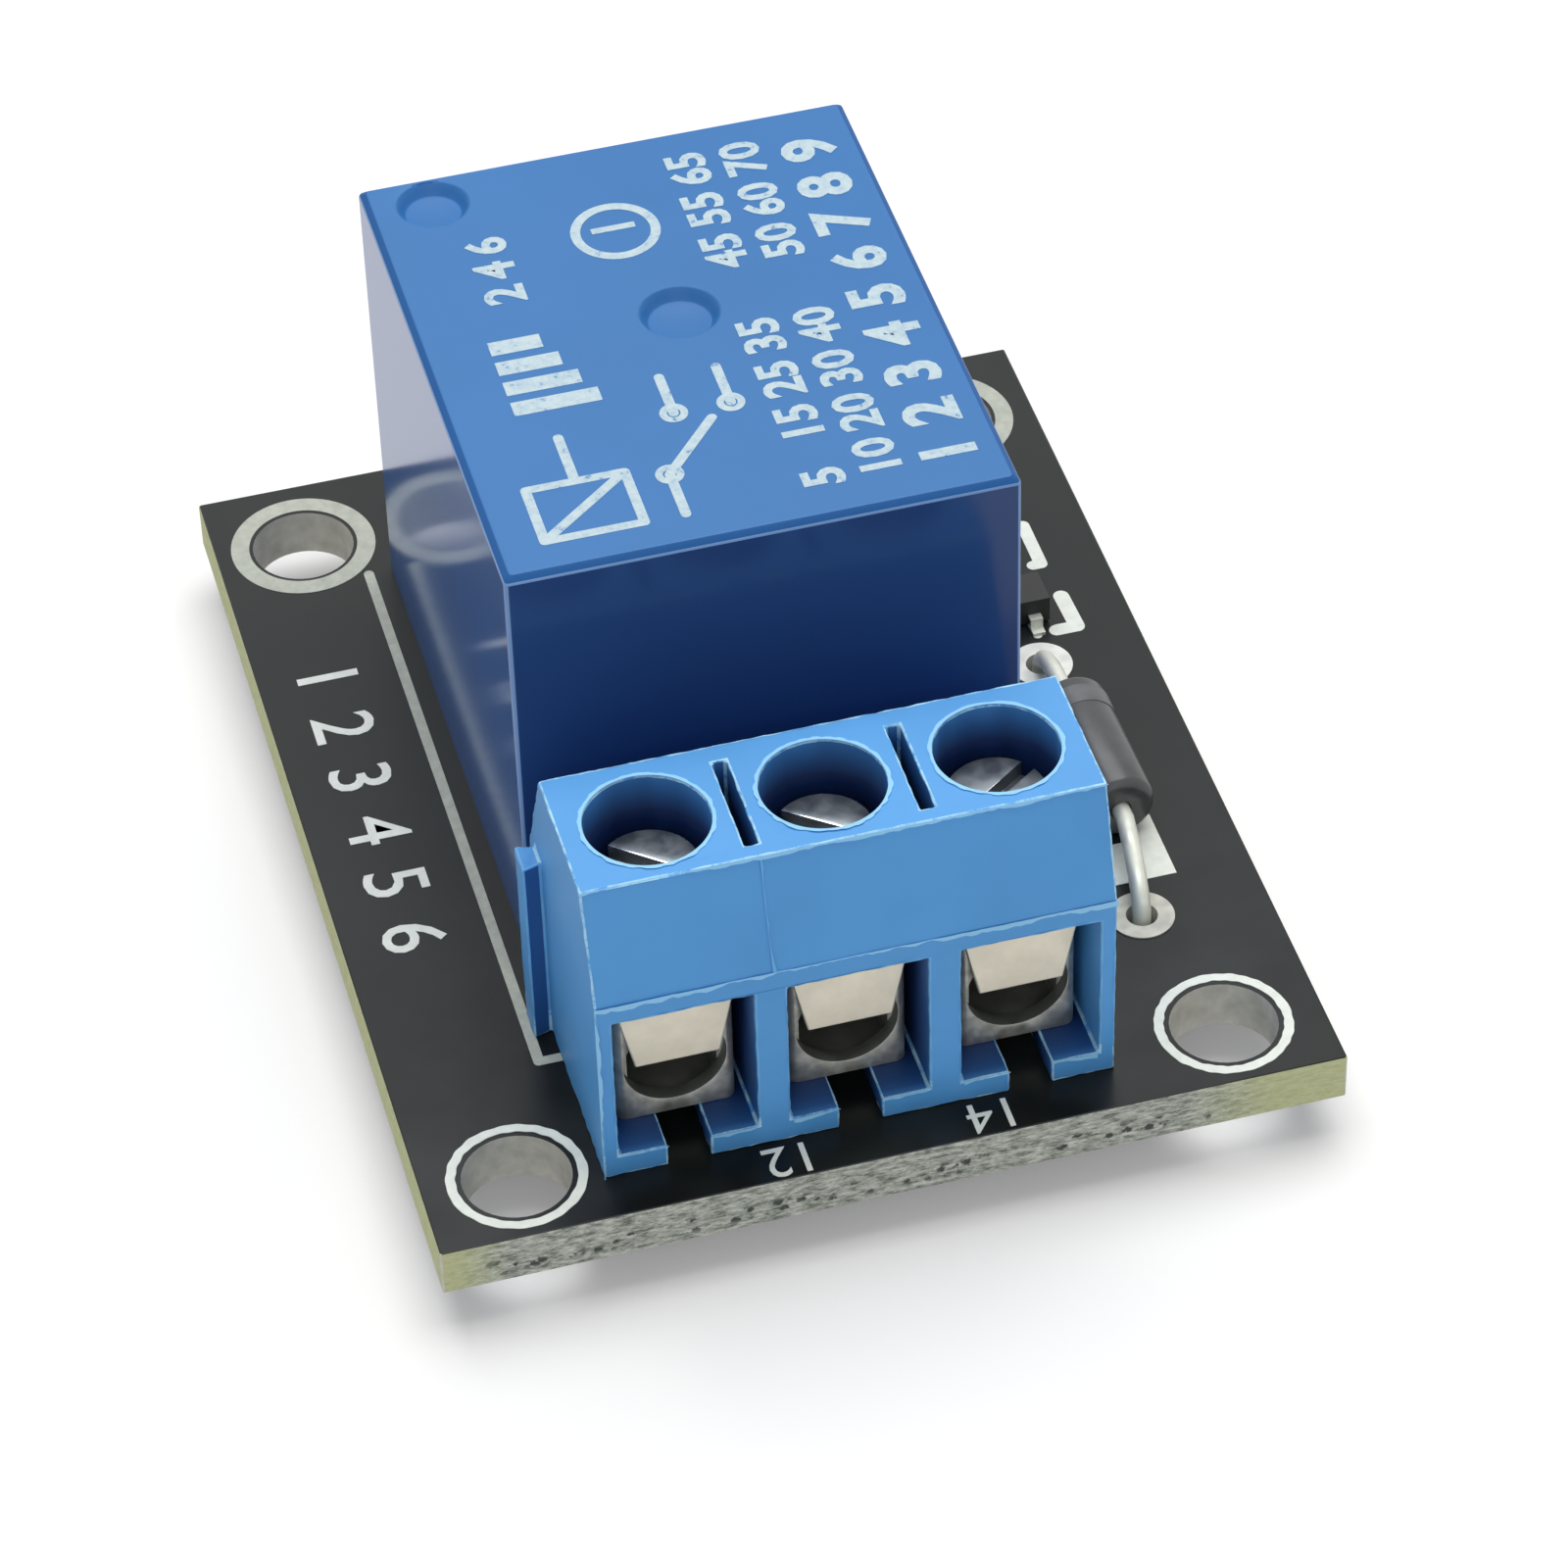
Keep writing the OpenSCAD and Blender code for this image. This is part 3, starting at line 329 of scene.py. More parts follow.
def bevel_sharp(shape, width_mm, least_angle=40, keep=lambda edge: True, clamp=True):
    """Bevels the edges that turn by more than least_angle, and returns the new faces."""
    sharp = [edge for edge in shape.edges if turns(edge, least_angle) and keep(edge)]
    result = bmesh.ops.bevel(
        shape, geom=sharp, offset=width_mm * MM, offset_type="OFFSET", segments=BEVEL_STEPS,
        profile=0.5, affect="EDGES", clamp_overlap=clamp, material=-1,
    )
    return result["faces"]


def cut_long_edges(shape, least_angle, step_mm):
    """Splits the sharp edges into steps, so that they can be worn unevenly."""
    groups = {}
    for edge in shape.edges:
        cuts = int(edge.calc_length() / (step_mm * MM))
        if cuts and turns(edge, least_angle):
            groups.setdefault(cuts, []).append(edge)
    for cuts, edges in groups.items():
        bmesh.ops.bisect_edges(shape, edges=edges, cuts=cuts)


def add_box(shape, low, high):
    """Adds a cuboid between two corners, in metres."""
    size = high - low
    place = Matrix.Translation((low + high) / 2) @ Matrix.Diagonal(size.to_4d())
    bmesh.ops.create_cube(shape, size=1.0, matrix=place)


def add_disc(shape, centre, radius, height, sides=16):
    """Adds an upright disc that stands on centre, in metres."""
    place = Matrix.Translation(centre + Vector((0, 0, height / 2)))
    bmesh.ops.create_cone(
        shape, cap_ends=True, segments=sides, radius1=radius, radius2=radius, depth=height, matrix=place
    )


print("edges stay smooth below", round(math.degrees(SMOOTH_ANGLE)), "degrees")

# %% [markdown]
# ## The laminate
# A cheap board is two things at once: a black lacquer on both faces, and pale glass cloth where it
# was sawn. The copy of the node gets one material for the faces, one for the sawn edge and one for
# the walls of the holes. The saw leaves tiny pits, which a noise stretched along the board's
# thickness paints as rows of specks.


# %% Board materials
MOST_TINT = 0.75
PIT_SPACING = 0.5 * MM


def make_mask():
    """Black solder mask: smooth lacquer, laid paler towards the back as a painted sheen."""
    material = finish("solder_mask", srgb(20, 23, 23), 0.28, specular=0.2)
    # painted sheen: the lacquer runs from darker at the front to paler at the back
    depth = map_range(material, axes(material)[1], board_low.y, board_high.y)
    painted_sheen_tones = [(0.05, srgb(14, 17, 18)), (0.45, srgb(33, 36, 36)), (1.0, srgb(47, 50, 49))]
    dust = map_range(material, noise(material, 5.0), 0.4, 0.7)
    feed(material, blend(material, dust, ramp(material, depth, painted_sheen_tones), srgb(38, 42, 42)), "Base Color")
    grain(material, 0.5, 0.008, 0.2)
    return material


def corner_tint(material, across):
    """How yellow the resin is: clean in the middle of the edge, yellow towards both its ends."""
    left = map_range(material, across, board_low.x + 1.9 * MM, board_low.x + 0.4 * MM, 0.0, MOST_TINT)
    right = map_range(material, across, board_high.x - 4.8 * MM, board_high.x - 2.2 * MM, 0.0, MOST_TINT)
    return combine(material, "MAXIMUM", left, right)


def pit_row(material, up):
    """Ragged pits in a row at mid height, with gaps between them."""
    cells = add_node(material, "ShaderNodeTexVoronoi", Scale=1 / PIT_SPACING)
    material.node_tree.links.new(place_on_piece(material, (1, 1, 1.25)), cells.inputs["Vector"])
    torn = product(material, combine(material, "SUBTRACT", noise(material, 0.14), 0.5), 0.7)
    pit = map_range(material, combine(material, "ADD", cells.outputs["Distance"], torn), 0.38, 0.24)
    below_top = map_range(material, up, 0.98 * MM, 0.8 * MM)
    above_floor = map_range(material, up, 0.18 * MM, 0.4 * MM)
    gaps = map_range(material, noise(material, 0.9), 0.24, 0.36)
    return product(material, pit, below_top, above_floor, gaps)


def make_sawn_edge():
    """Glass cloth and resin, cut by a saw: fine streaks, a row of pits, and yellower corners."""
    material = finish("sawn_laminate", srgb(205, 209, 196), 0.75, specular=0.25)
    across, _, up = axes(material)
    threads = [(0.38, srgb(108, 114, 106)), (0.49, srgb(170, 175, 165)), (0.62, srgb(216, 220, 210))]
    cloth = ramp(material, noise(material, 0.2, 6.0, 0.78, (0.36, 0.36, 1.3)), threads)
    tint = corner_tint(material, across)
    tinted = blend(material, tint, cloth, srgb(203, 207, 150))
    pits = product(material, pit_row(material, up), map_range(material, tint, 0.5, 0.1))
    feed(material, blend(material, pits, tinted, srgb(74, 81, 78)), "Base Color")
    grain(material, 0.2, 0.1, 0.8, (0.5, 0.5, 1.4))
    return material


def make_hole_wall():
    """Drilled and plated wall of a mounting hole."""
    plating = srgb(206, 205, 196)
    material = finish("hole_wall", plating, 0.45)
    mottle(material, plating, 0.6, 0.16)
    return material


MASK, SAWN, HOLE_WALL = 0, 1, 2
board_materials = [make_mask(), make_sawn_edge(), make_hole_wall()]
print("board finishes:", [material.name for material in board_materials])


# %% Board
BOARD_BEVEL = 0.06


def on_outline(vert):
    """Whether a vertex lies on the board's outline."""
    x_side = min(abs(vert.co.x - board_low.x), abs(vert.co.x - board_high.x))
    y_side = min(abs(vert.co.y - board_low.y), abs(vert.co.y - board_high.y))
    return min(x_side, y_side) < TOUCHING


def make_board():
    """Copy of the board with its three finishes and a hair of bevel round the outline."""
    shape = merged_copy("circuit_board")
    bevel_sharp(shape, BOARD_BEVEL, keep=lambda edge: all(on_outline(vert) for vert in edge.verts))
    for face in shape.faces:
        if abs(face.normal.z) > 0.9:
            face.material_index = MASK
        elif all(on_outline(vert) for vert in face.verts) or abs(face.normal.z) > 0.1:
            face.material_index = SAWN
        else:
            face.material_index = HOLE_WALL
    return write_piece("board", shape, board_materials, replaces="circuit_board")


board = make_board()
print("board faces:", len(board.data.polygons))

# %% [markdown]
# ## The white print on the board
# Silkscreen ink is a film a few hundredths of a millimetre thick. Lines are laid as flat bars
# with round ends, rings round the mounting holes are two circles bridged together, and the marks
# are plain numbers. The film is real geometry, so it catches the light at its rim.


# %% Print helpers
INK_T = 0.02
GOLDEN = 0.618
WAVES_ROUND = (5, 34)


def make_ink(name, colour, worn):
    """White ink, eaten away a little where worn is above zero."""
    material = finish(name, colour, 0.55, specular=0.3)
    mottle(material, colour, 0.35, worn)
    return material


ink = make_ink("silk_ink", srgb(236, 240, 230), 0.06)
faint_ink = make_ink("faint_ink", srgb(184, 188, 176), 0.12)


def bar(shape, start, end, width_mm, film_mm=INK_T):
    """A flat bar of ink between two places, thinned by up to 30% so that no two tops coincide."""
    film_mm *= 1 - 0.3 * (len(shape.verts) * GOLDEN % 1)
    along = end - start
    turn = Matrix.Rotation(math.atan2(along.y, along.x), 4, "Z")
    height = Vector((0, 0, film_mm * MM))
    size = Vector((along.length, width_mm * MM, film_mm * MM))
    place = Matrix.Translation((start + end + height) / 2) @ turn @ Matrix.Diagonal(size.to_4d())
    bmesh.ops.create_cube(shape, size=1.0, matrix=place)


def path(shape, places, width_mm, film_mm=INK_T):
    """Bars laid end to end, with a lower disc at every place to round the corners."""
    for start, end in zip(places, places[1:]):
        bar(shape, start, end, width_mm, film_mm)
    for place in places:
        share = 0.35 + 0.3 * (len(shape.verts) * GOLDEN % 1)
        add_disc(shape, place, width_mm / 2 * MM, film_mm * share * MM)


def ring(shape, centre, outer_mm, inner_mm, height_mm=INK_T, segments=64):
    """A flat ring: two circles bridged together, pulled up and turned to face outwards."""
    circles = []
    for radius in (outer_mm, inner_mm):
        made = bmesh.ops.create_circle(
            shape, segments=segments, radius=radius * MM, matrix=Matrix.Translation(centre)
        )
        circles += unique(edge for vert in made["verts"] for edge in vert.link_edges)
    faces = bmesh.ops.bridge_loops(shape, edges=circles)["faces"]
    risen = bmesh.ops.extrude_face_region(shape, geom=faces)["geom"]
    top = [item for item in risen if isinstance(item, bmesh.types.BMVert)]
    bmesh.ops.translate(shape, vec=(0, 0, height_mm * MM), verts=top)
    verts = top + unique(vert for edge in circles if edge.is_valid for vert in edge.verts)
    bmesh.ops.recalc_face_normals(shape, faces=unique(face for vert in verts for face in vert.link_faces))
    return verts


def ragged(shape, verts, dice, centre, swell_mm, least_mm=0.0):
    """Lets the edges of a ring wander in and out, with the same wander at every height."""
    waves = [(dice.randint(*WAVES_ROUND), dice.uniform(0, 6.28)) for _ in range(6)]
    for vert in verts:
        reach = Vector((vert.co.x - centre.x, vert.co.y - centre.y, 0))
        if reach.length > least_mm * MM:
            turn = math.atan2(reach.y, reach.x) + reach.length / MM
            swell = sum(math.sin(count * turn + start) for count, start in waves) * swell_mm
            vert.co += reach.normalized() * swell * MM


def number_mesh(text, cap_mm, place, turn_degrees, thickness_mm, weight=0.0):
    """Plain digits as a mesh: text is laid flat, thickened, and only then put in its place."""
    curve = bpy.data.curves.new("digits", "FONT")
    curve.body = text
    curve.offset = weight
    curve.extrude = 0.5
    curve.resolution_u = 3
    carrier = bpy.data.objects.new("digits", curve)
    bpy.context.scene.collection.objects.link(carrier)
    evaluated = carrier.evaluated_get(bpy.context.evaluated_depsgraph_get())
    mesh = bpy.data.meshes.new_from_object(evaluated)
    bpy.data.objects.remove(carrier)
    cap = max(vert.co.y for vert in mesh.vertices)
    scale = cap_mm * MM / cap
    mesh.transform(
        Matrix.Translation(place + Vector((0, 0, thickness_mm * MM / 2)))
        @ Matrix.Rotation(math.radians(turn_degrees), 4, "Z")
        @ Matrix.Diagonal((scale, scale, thickness_mm * MM, 1))
    )
    return mesh


def add_number(shape, *settings, **more):
    """Adds digits to a bmesh."""
    mesh = number_mesh(*settings, **more)
    shape.from_mesh(mesh)
    bpy.data.meshes.remove(mesh)


print("ink film in mm:", INK_T)


# %% Print on the board
HOLES_X = (2.8, 24.0)
FRONT_HOLES_Y, BACK_HOLES_Y = 2.35, 31.05
COUNT_X, COUNT_BACK, COUNT_STEP, COUNT_CAP = 1.25, 25.4, 2.4, 1.9
POLE_CAP = 1.15
POLE_NUMBERS = {"12": (11.3, 1.28), "14": (17.35, 1.3)}
DIODE_PATCHES = [((21.6, 8.75), (24.66, 10.45)), ((24.0, 10.45), (24.66, 11.4))]
TRANSISTOR_MARKS = [
    (0.5, [(24.5, 20.2), (25.15, 20.2), (25.1, 21.7)]),
    (0.42, [(24.7, 23.35), (24.95, 23.35), (24.95, 25.3)]),
    (0.3, [(23.85, 20.15), (23.85, 21.3)]),
]
RELAY_OUTLINE = [(4.5, 29.1), (4.5, 6.6), (6.2, 6.6)]


def make_board_print():
    """Rings round the front holes, plain numbers, and the marks by the diode and transistor."""
    shape = bmesh.new()
    dice = random.Random(3)
    for x in HOLES_X:
        centre = on_board(x, FRONT_HOLES_Y)
        ragged(shape, ring(shape, centre, 2.04, 1.755, INK_T, 128), dice, centre, 0.006)
    for k, text in enumerate("123456"):
        place = on_board(COUNT_X, COUNT_BACK - COUNT_STEP * k)
        add_number(shape, text, COUNT_CAP, place, -90, INK_T, weight=0.004)
    for text, place in POLE_NUMBERS.items():
        add_number(shape, text, POLE_CAP, on_board(*place), 180, INK_T)
    for low, high in DIODE_PATCHES:
        add_box(shape, on_board(*low), on_board(*high, INK_T))
    for width_mm, places in TRANSISTOR_MARKS:
        path(shape, [on_board(*place) for place in places], width_mm)
    return write_piece("board_print", shape, ink, smooth=False)


def make_faint_print():
    """The thinner, greyer ink of the relay's outline and of the rings at the back."""
    shape = bmesh.new()
    for x in HOLES_X:
        ring(shape, on_board(x, BACK_HOLES_Y), 2.3, 1.72)
    path(shape, [on_board(*place) for place in RELAY_OUTLINE], 0.32)
    return write_piece("board_print_faint", shape, faint_ink, smooth=False)


board_print = make_board_print()
faint_print = make_faint_print()
print("print faces:", len(board_print.data.polygons) + len(faint_print.data.polygons))

# %% [markdown]
# ## The relay's case
# The case is one moulding with polished walls and a satin roof. The copy of the node gives the
# roof, the side walls and the front and back walls their own copies of the blue, with the front and
# back ones darker as painted shade. Its upright edges get a paler copy as a painted highlight, and
# the slopes where the roof turns down into the walls a darker, duller one as painted shade. Its roof
# is let down by the thickness of the print, so that the print lies within the part's height.


# %% Relay case
PRINT_T = 0.015
CASE_BEVEL, CASE_TURN = 0.045, 30
BEVELLED_DEPTH = 1.5 * MM
SLOPE_INSET, EDGE_INSET = 0.35 * MM, 0.3 * MM


def make_relay_plastic(name, colour, roughness, specular=0.45):
    """Pressed blue, with faint flow in the colour."""
    material = finish(name, colour, roughness, specular=specular)
    mottle(material, colour, 9.0, 0.05)
    grain(material, 1.2, 0.008, 0.12)
    return material


ROOF, EDGE_HIGHLIGHT, SIDE, LEAN_SHADE, FRONT_SHADE = 0, 1, 2, 3, 4
# the edge copy is a painted highlight, and the lean and front copies are painted shade
relay_materials = [
    make_relay_plastic("relay_roof", srgb(48, 114, 178), 0.42, 0.35),
    make_relay_plastic("relay_edge_highlight", srgb(112, 152, 206), 0.3),
    make_relay_plastic("relay_side", srgb(34, 94, 170), 0.14, 0.95),
    make_relay_plastic("relay_lean_shade", srgb(40, 94, 157), 0.5, 0.15),
    make_relay_plastic("relay_front_shade", srgb(42, 72, 126), 0.16, 0.35),
]


def relay_inset(face):
    """How far a face lies inside the relay's outline."""
    middle = face.calc_center_median()
    across = min(middle.x - relay_low.x, relay_high.x - middle.x)
    return min(across, middle.y - relay_low.y, relay_high.y - middle.y)


def make_relay_case():
    """Copy of the cover with a roof let down for the print, softened edges in a paler blue as a painted
    highlight, and darker front and back walls and slopes as painted shade.
    """
    shape = merged_copy("relay_cover")
    for vert in shape.verts:
        if relay_high.z - vert.co.z < TOUCHING:
            vert.co.z -= PRINT_T * MM
    least_z = relay_high.z - BEVELLED_DEPTH
    edges = bevel_sharp(
        shape, CASE_BEVEL, CASE_TURN, lambda edge: any(vert.co.z > least_z for vert in edge.verts)
    )
    for face in shape.faces:
        level = abs(face.normal.z) < 0.2
        at_corner = min(abs(face.normal.x), abs(face.normal.y)) > 0.3
        # the front and back walls take the darker front copy as painted shade, and the upright corners
        # the paler edge copy as a painted highlight
        wall = FRONT_SHADE if abs(face.normal.y) > 0.7 else SIDE
        face.material_index = (EDGE_HIGHLIGHT if at_corner else wall) if level else ROOF
        # the slopes of the roof's rim take the darker lean copy as painted shade
        if 0.2 < abs(face.normal.z) < 0.97 and relay_inset(face) < SLOPE_INSET:
            face.material_index = LEAN_SHADE
    # the bevels low along the outline take the paler edge copy as a painted highlight
    for face in edges:
        below_roof = face.calc_center_median().z < relay_high.z - 0.1 * MM
        if below_roof and relay_inset(face) < EDGE_INSET:
            face.material_index = EDGE_HIGHLIGHT
    return write_piece("relay_case", shape, relay_materials, replaces="relay_cover")


relay_case = make_relay_case()
print("relay case faces:", len(relay_case.data.polygons))

# %% [markdown]
# ## The print on the roof
# A cube relay carries rows of white print. Here they are plain counting numbers and the usual
# sketch of a coil and a change-over contact, which any relay could carry. The ink was stamped, so
# it is a little broken: noise lets the blue through.


# %% Print on the roof
def make_roof_ink():
    """Pale stamped ink that lets specks of the blue through."""
    material = finish("roof_ink", srgb(190, 211, 219), 0.5, specular=0.25)
    gaps = noise(material, 0.25, 4.0, 0.7)
    colours = [(0.3, srgb(92, 138, 190)), (0.38, srgb(176, 200, 214)), (0.6, srgb(198, 216, 222))]
    feed(material, ramp(material, gaps, colours), "Base Color")
    return material


roof_ink = make_roof_ink()
SKETCH_WIDTH = 0.3
COIL_LEFT, COIL_RIGHT, COIL_FRONT, COIL_BACK = 1.5, 4.4, 1.3, 3.6
PIVOT, OPEN_CONTACT, CLOSED_CONTACT = (5.6, 3.1), (6.4, 5.7), (8.1, 5.7)
SKETCH_LINES = [
    [
        (COIL_LEFT, COIL_FRONT), (COIL_RIGHT, COIL_FRONT), (COIL_RIGHT, COIL_BACK),
        (COIL_LEFT, COIL_BACK), (COIL_LEFT, COIL_FRONT),
    ],
    [(COIL_LEFT, COIL_FRONT), (COIL_RIGHT, COIL_BACK)],
    [(2.95, COIL_BACK), (2.95, 5.6)],
    [(5.6, COIL_FRONT), PIVOT, (7.4, 5.2)],
    [OPEN_CONTACT, (6.4, 7.4)],
    [CLOSED_CONTACT, (8.1, 7.4)],
]
STRIPES, STRIPE_FRONT, STRIPE_STEP, STRIPE_WIDTH = 4, 7.2, 0.95, 0.62
ONES = [str(k) for k in range(1, 10)]
TENS = ["10", "20", "30", "40", "", "50", "60", "70"]
FIVES = ["5", "15", "25", "35", "", "45", "55", "65"]
EVENS = ["2", "4", "6"]


def on_film(x, y):
    """A place on the roof that was let down for the print, in millimetres from its front left."""
    return on_relay(x, y, -PRINT_T)


def print_row(shape, texts, cap_mm, x, start, step, weight=0.03):
    """A row of numbers that runs back along the roof, read from the right."""
    for k, text in enumerate(texts):
        if text:
            add_number(shape, text, cap_mm, on_film(x, start + step * k), 90, PRINT_T, weight=weight)


def make_roof_print():
    """Rows of numbers on the right, and on the left the contact sketch, stripes and a circled one."""
    shape = bmesh.new()
    print_row(shape, ONES, cap_mm=1.6, x=14.2, start=1.2, step=1.85, weight=0.035)
    print_row(shape, TENS, cap_mm=1.2, x=12.0, start=1.3, step=2.08)
    print_row(shape, FIVES, cap_mm=1.2, x=10.3, start=1.3, step=2.08)
    for line in SKETCH_LINES:
        path(shape, [on_film(*place) for place in line], SKETCH_WIDTH, PRINT_T)
    for place in (PIVOT, OPEN_CONTACT, CLOSED_CONTACT):
        ring(shape, on_film(*place), 0.42, 0.2, PRINT_T, 24)
    for k in range(STRIPES):
        y = STRIPE_FRONT + STRIPE_STEP * k
        bar(shape, on_film(2.0, y), on_film(4.6 - 0.35 * k, y), STRIPE_WIDTH, PRINT_T)
    ring(shape, on_film(6.9, 14.4), 1.35, 1.05, PRINT_T, 48)
    add_number(shape, "1", 1.3, on_film(7.5, 14.1), 90, PRINT_T, weight=0.02)
    print_row(shape, EVENS, cap_mm=1.2, x=3.6, start=12.0, step=1.2)
    return write_piece("roof_print", shape, roof_ink, smooth=False)


roof_print = make_roof_print()
print("roof print faces:", len(roof_print.data.polygons))

# %% [markdown]
# ## The screw terminal
# The terminal is moulded in a lighter, softer blue. The bevels of the copy get paler blues of their
# own as a painted highlight, whitened in stretches above the crease and along the floor tabs, where
# the mould opened. The walls of the holes and windows get painted shade that deepens with their
# depth, which a ramp on Object coordinates paints, and the rib's front face a darker blue as painted
# shade.


# %% Terminal housing
def make_terminal_plastic(name, colour, roughness):
    """Satin moulded nylon."""
    material = finish(name, colour, roughness, specular=0.32)
    mottle(material, colour, 4.0, 0.05)
    grain(material, 0.6, 0.01, 0.2)
    return material


TERMINAL_BLUE = srgb(88, 163, 229)


def make_torn_edge():
    """A paler blue on the bevels as a painted highlight, whitened further in stretches where the mould
    opened.
    """
    material = make_terminal_plastic("terminal_edge_highlight", TERMINAL_BLUE, 0.5)
    worn = map_range(material, noise(material, 0.45, 4.0, 0.75), 0.38, 0.54)
    feed(material, blend(material, worn, shade(TERMINAL_BLUE, 1.15), srgb(178, 228, 255)), "Base Color")
    return material


def make_deep_blue():
    """The walls of the driver holes and slits, with painted shade that deepens with depth."""
    material = make_terminal_plastic("terminal_deep_shade", TERMINAL_BLUE, 0.5)
    # painted shade: the blue darkens from the top of the block to 2.2 mm down into the holes and slits
    depth = map_range(material, axes(material)[2], block_high.z, block_high.z - 2.2 * MM)
    stops = [(0.0, srgb(66, 132, 200)), (0.6, srgb(24, 52, 104))]
    feed(material, ramp(material, depth, stops), "Base Color")
    return material


def make_window_blue():
    """The walls and floors of the wire windows, with painted shade a little way in."""
    material = make_terminal_plastic("terminal_window_shade", TERMINAL_BLUE, 0.5)
    # painted shade: the blue darkens from the front of the block to 1.6 mm inward
    inward = map_range(material, axes(material)[1], block_low.y, block_low.y + 1.6 * MM)
    stops = [(0.0, srgb(70, 138, 206)), (0.22, srgb(46, 98, 164)), (1.0, srgb(22, 48, 98))]
    feed(material, ramp(material, inward, stops), "Base Color")
    return material


BODY, TORN_HIGHLIGHT, DEEP_SHADE, WINDOW_SHADE, SOFT_HIGHLIGHT, RIB_SHADE = 0, 1, 2, 3, 4, 5
# the deep, window and rib blues are painted shade, and the edge and soft blues carry a painted highlight
terminal_materials = [
    make_terminal_plastic("terminal_blue", TERMINAL_BLUE, 0.42), make_torn_edge(), make_deep_blue(),
    make_window_blue(), make_terminal_plastic("terminal_soft_highlight", srgb(112, 184, 240), 0.42),
    make_terminal_plastic("terminal_rib_shade", srgb(44, 94, 156), 0.5),
]
print("terminal finishes:", len(terminal_materials))


# %% Terminal
BLOCK_WIDTH = 15.24 * MM
CREASE_UP = 6.8 * MM
ROOF_SETBACK = 1.1 * MM
OUTER_WALL, BACK_WALL, FLOOR_TABS = 0.5 * MM, 1.0 * MM, 1.0 * MM
HOLES_FROM_FRONT, HOLES_FROM_BACK, HOLES_DEPTH = 1.4 * MM, 2.2 * MM, 3.5 * MM
TERMINAL_BEVEL, TERMINAL_TURN = 0.075, 25
WEAR_STEP, WEAR_DEPTH = 0.3, 0.035
block_left = block_high.x - BLOCK_WIDTH
crease = board_top + CREASE_UP


def wall_finish(face):
    """The material of a face, by where it lies in the block and which way it faces."""
    middle = face.calc_center_median()
    inside = block_left + OUTER_WALL < middle.x < block_high.x - OUTER_WALL
    by_holes = block_low.y + HOLES_FROM_FRONT < middle.y < block_high.y - HOLES_FROM_BACK
    in_holes = by_holes and middle.z > block_high.z - HOLES_DEPTH
    in_window = middle.z < crease and middle.y < block_high.y - BACK_WALL
    # the rib's front face takes a darker blue as painted shade
    if face.normal.y < -0.5 and middle.x < block_left:
        return RIB_SHADE
    # the walls of the driver holes and slits take the blue with painted shade
    if inside and in_holes and abs(face.normal.z) < 0.3:
        return DEEP_SHADE
    # the walls and floors of the wire windows take the blue with painted shade
    if inside and in_window and abs(face.normal.y) < 0.3:
        return WINDOW_SHADE
    return BODY


def make_terminal():
    """Copy of the moulding with softened edges in a paler blue as a painted highlight, whitened in
    stretches, and painted shade on the deep walls, the windows and the rib's front face.
    """
    shape = merged_copy("terminal_housing")
    cut_long_edges(shape, TERMINAL_TURN, WEAR_STEP)
    edges = bevel_sharp(shape, TERMINAL_BEVEL, TERMINAL_TURN, clamp=False)
    for face in shape.faces:
        face.material_index = wall_finish(face)
    for face in edges:
        # the bevels take a paler blue as a painted highlight; above the crease and along the floor tabs
        # it is whitened in stretches
        height = face.calc_center_median().z
        face.material_index = SOFT_HIGHLIGHT if board_top + FLOOR_TABS <= height <= crease else TORN_HIGHLIGHT
    dice = random.Random(7)
    for vert in unique(vert for face in edges for vert in face.verts):
        vert.co -= vert.normal * dice.uniform(0, WEAR_DEPTH) * MM
    return write_piece(
        "terminal", shape, terminal_materials, replaces="terminal_housing"
    )


terminal = make_terminal()
print("terminal faces:", len(terminal.data.polygons))

# %% [markdown]
# ## Flash on the terminal
# Nylon creeps into the joint of the mould and leaves a thin torn ribbon along its edges. Each
# ribbon is a one-cell-wide grid whose cells are laid along a line; its width and its standing-off
# change at random, and then it is given a thickness. The same ribbon, only finer, draws the line
# down the slope where two streams of nylon met, and thin uneven rings go round the driver holes.


# %% Flash
flash_material = make_terminal_plastic("flash", srgb(150, 212, 255), 0.45)
LEFT_TO_RIGHT, DOWN, FORWARD = Vector((1, 0, 0)), Vector((0, 0, -1)), Vector((0, -1, 0))
FLASH_T = 0.012 * MM
TAB_UP = 0.8 * MM
TAB_INNER, TAB_OUTER = 0.62 * MM, 2.0 * MM
down_slope = Vector((0, -ROOF_SETBACK, crease - block_high.z)).normalized()
off_slope = Vector((0, down_slope.z, -down_slope.y))


def on_crease(x):
    """The place on the front wall's upper edge, where the slope begins."""
    return Vector((x, block_low.y, crease))


def on_brow(x):
    """The place on the roof's front edge, where the slope ends."""
    return Vector((x, block_low.y + ROOF_SETBACK, block_high.z))


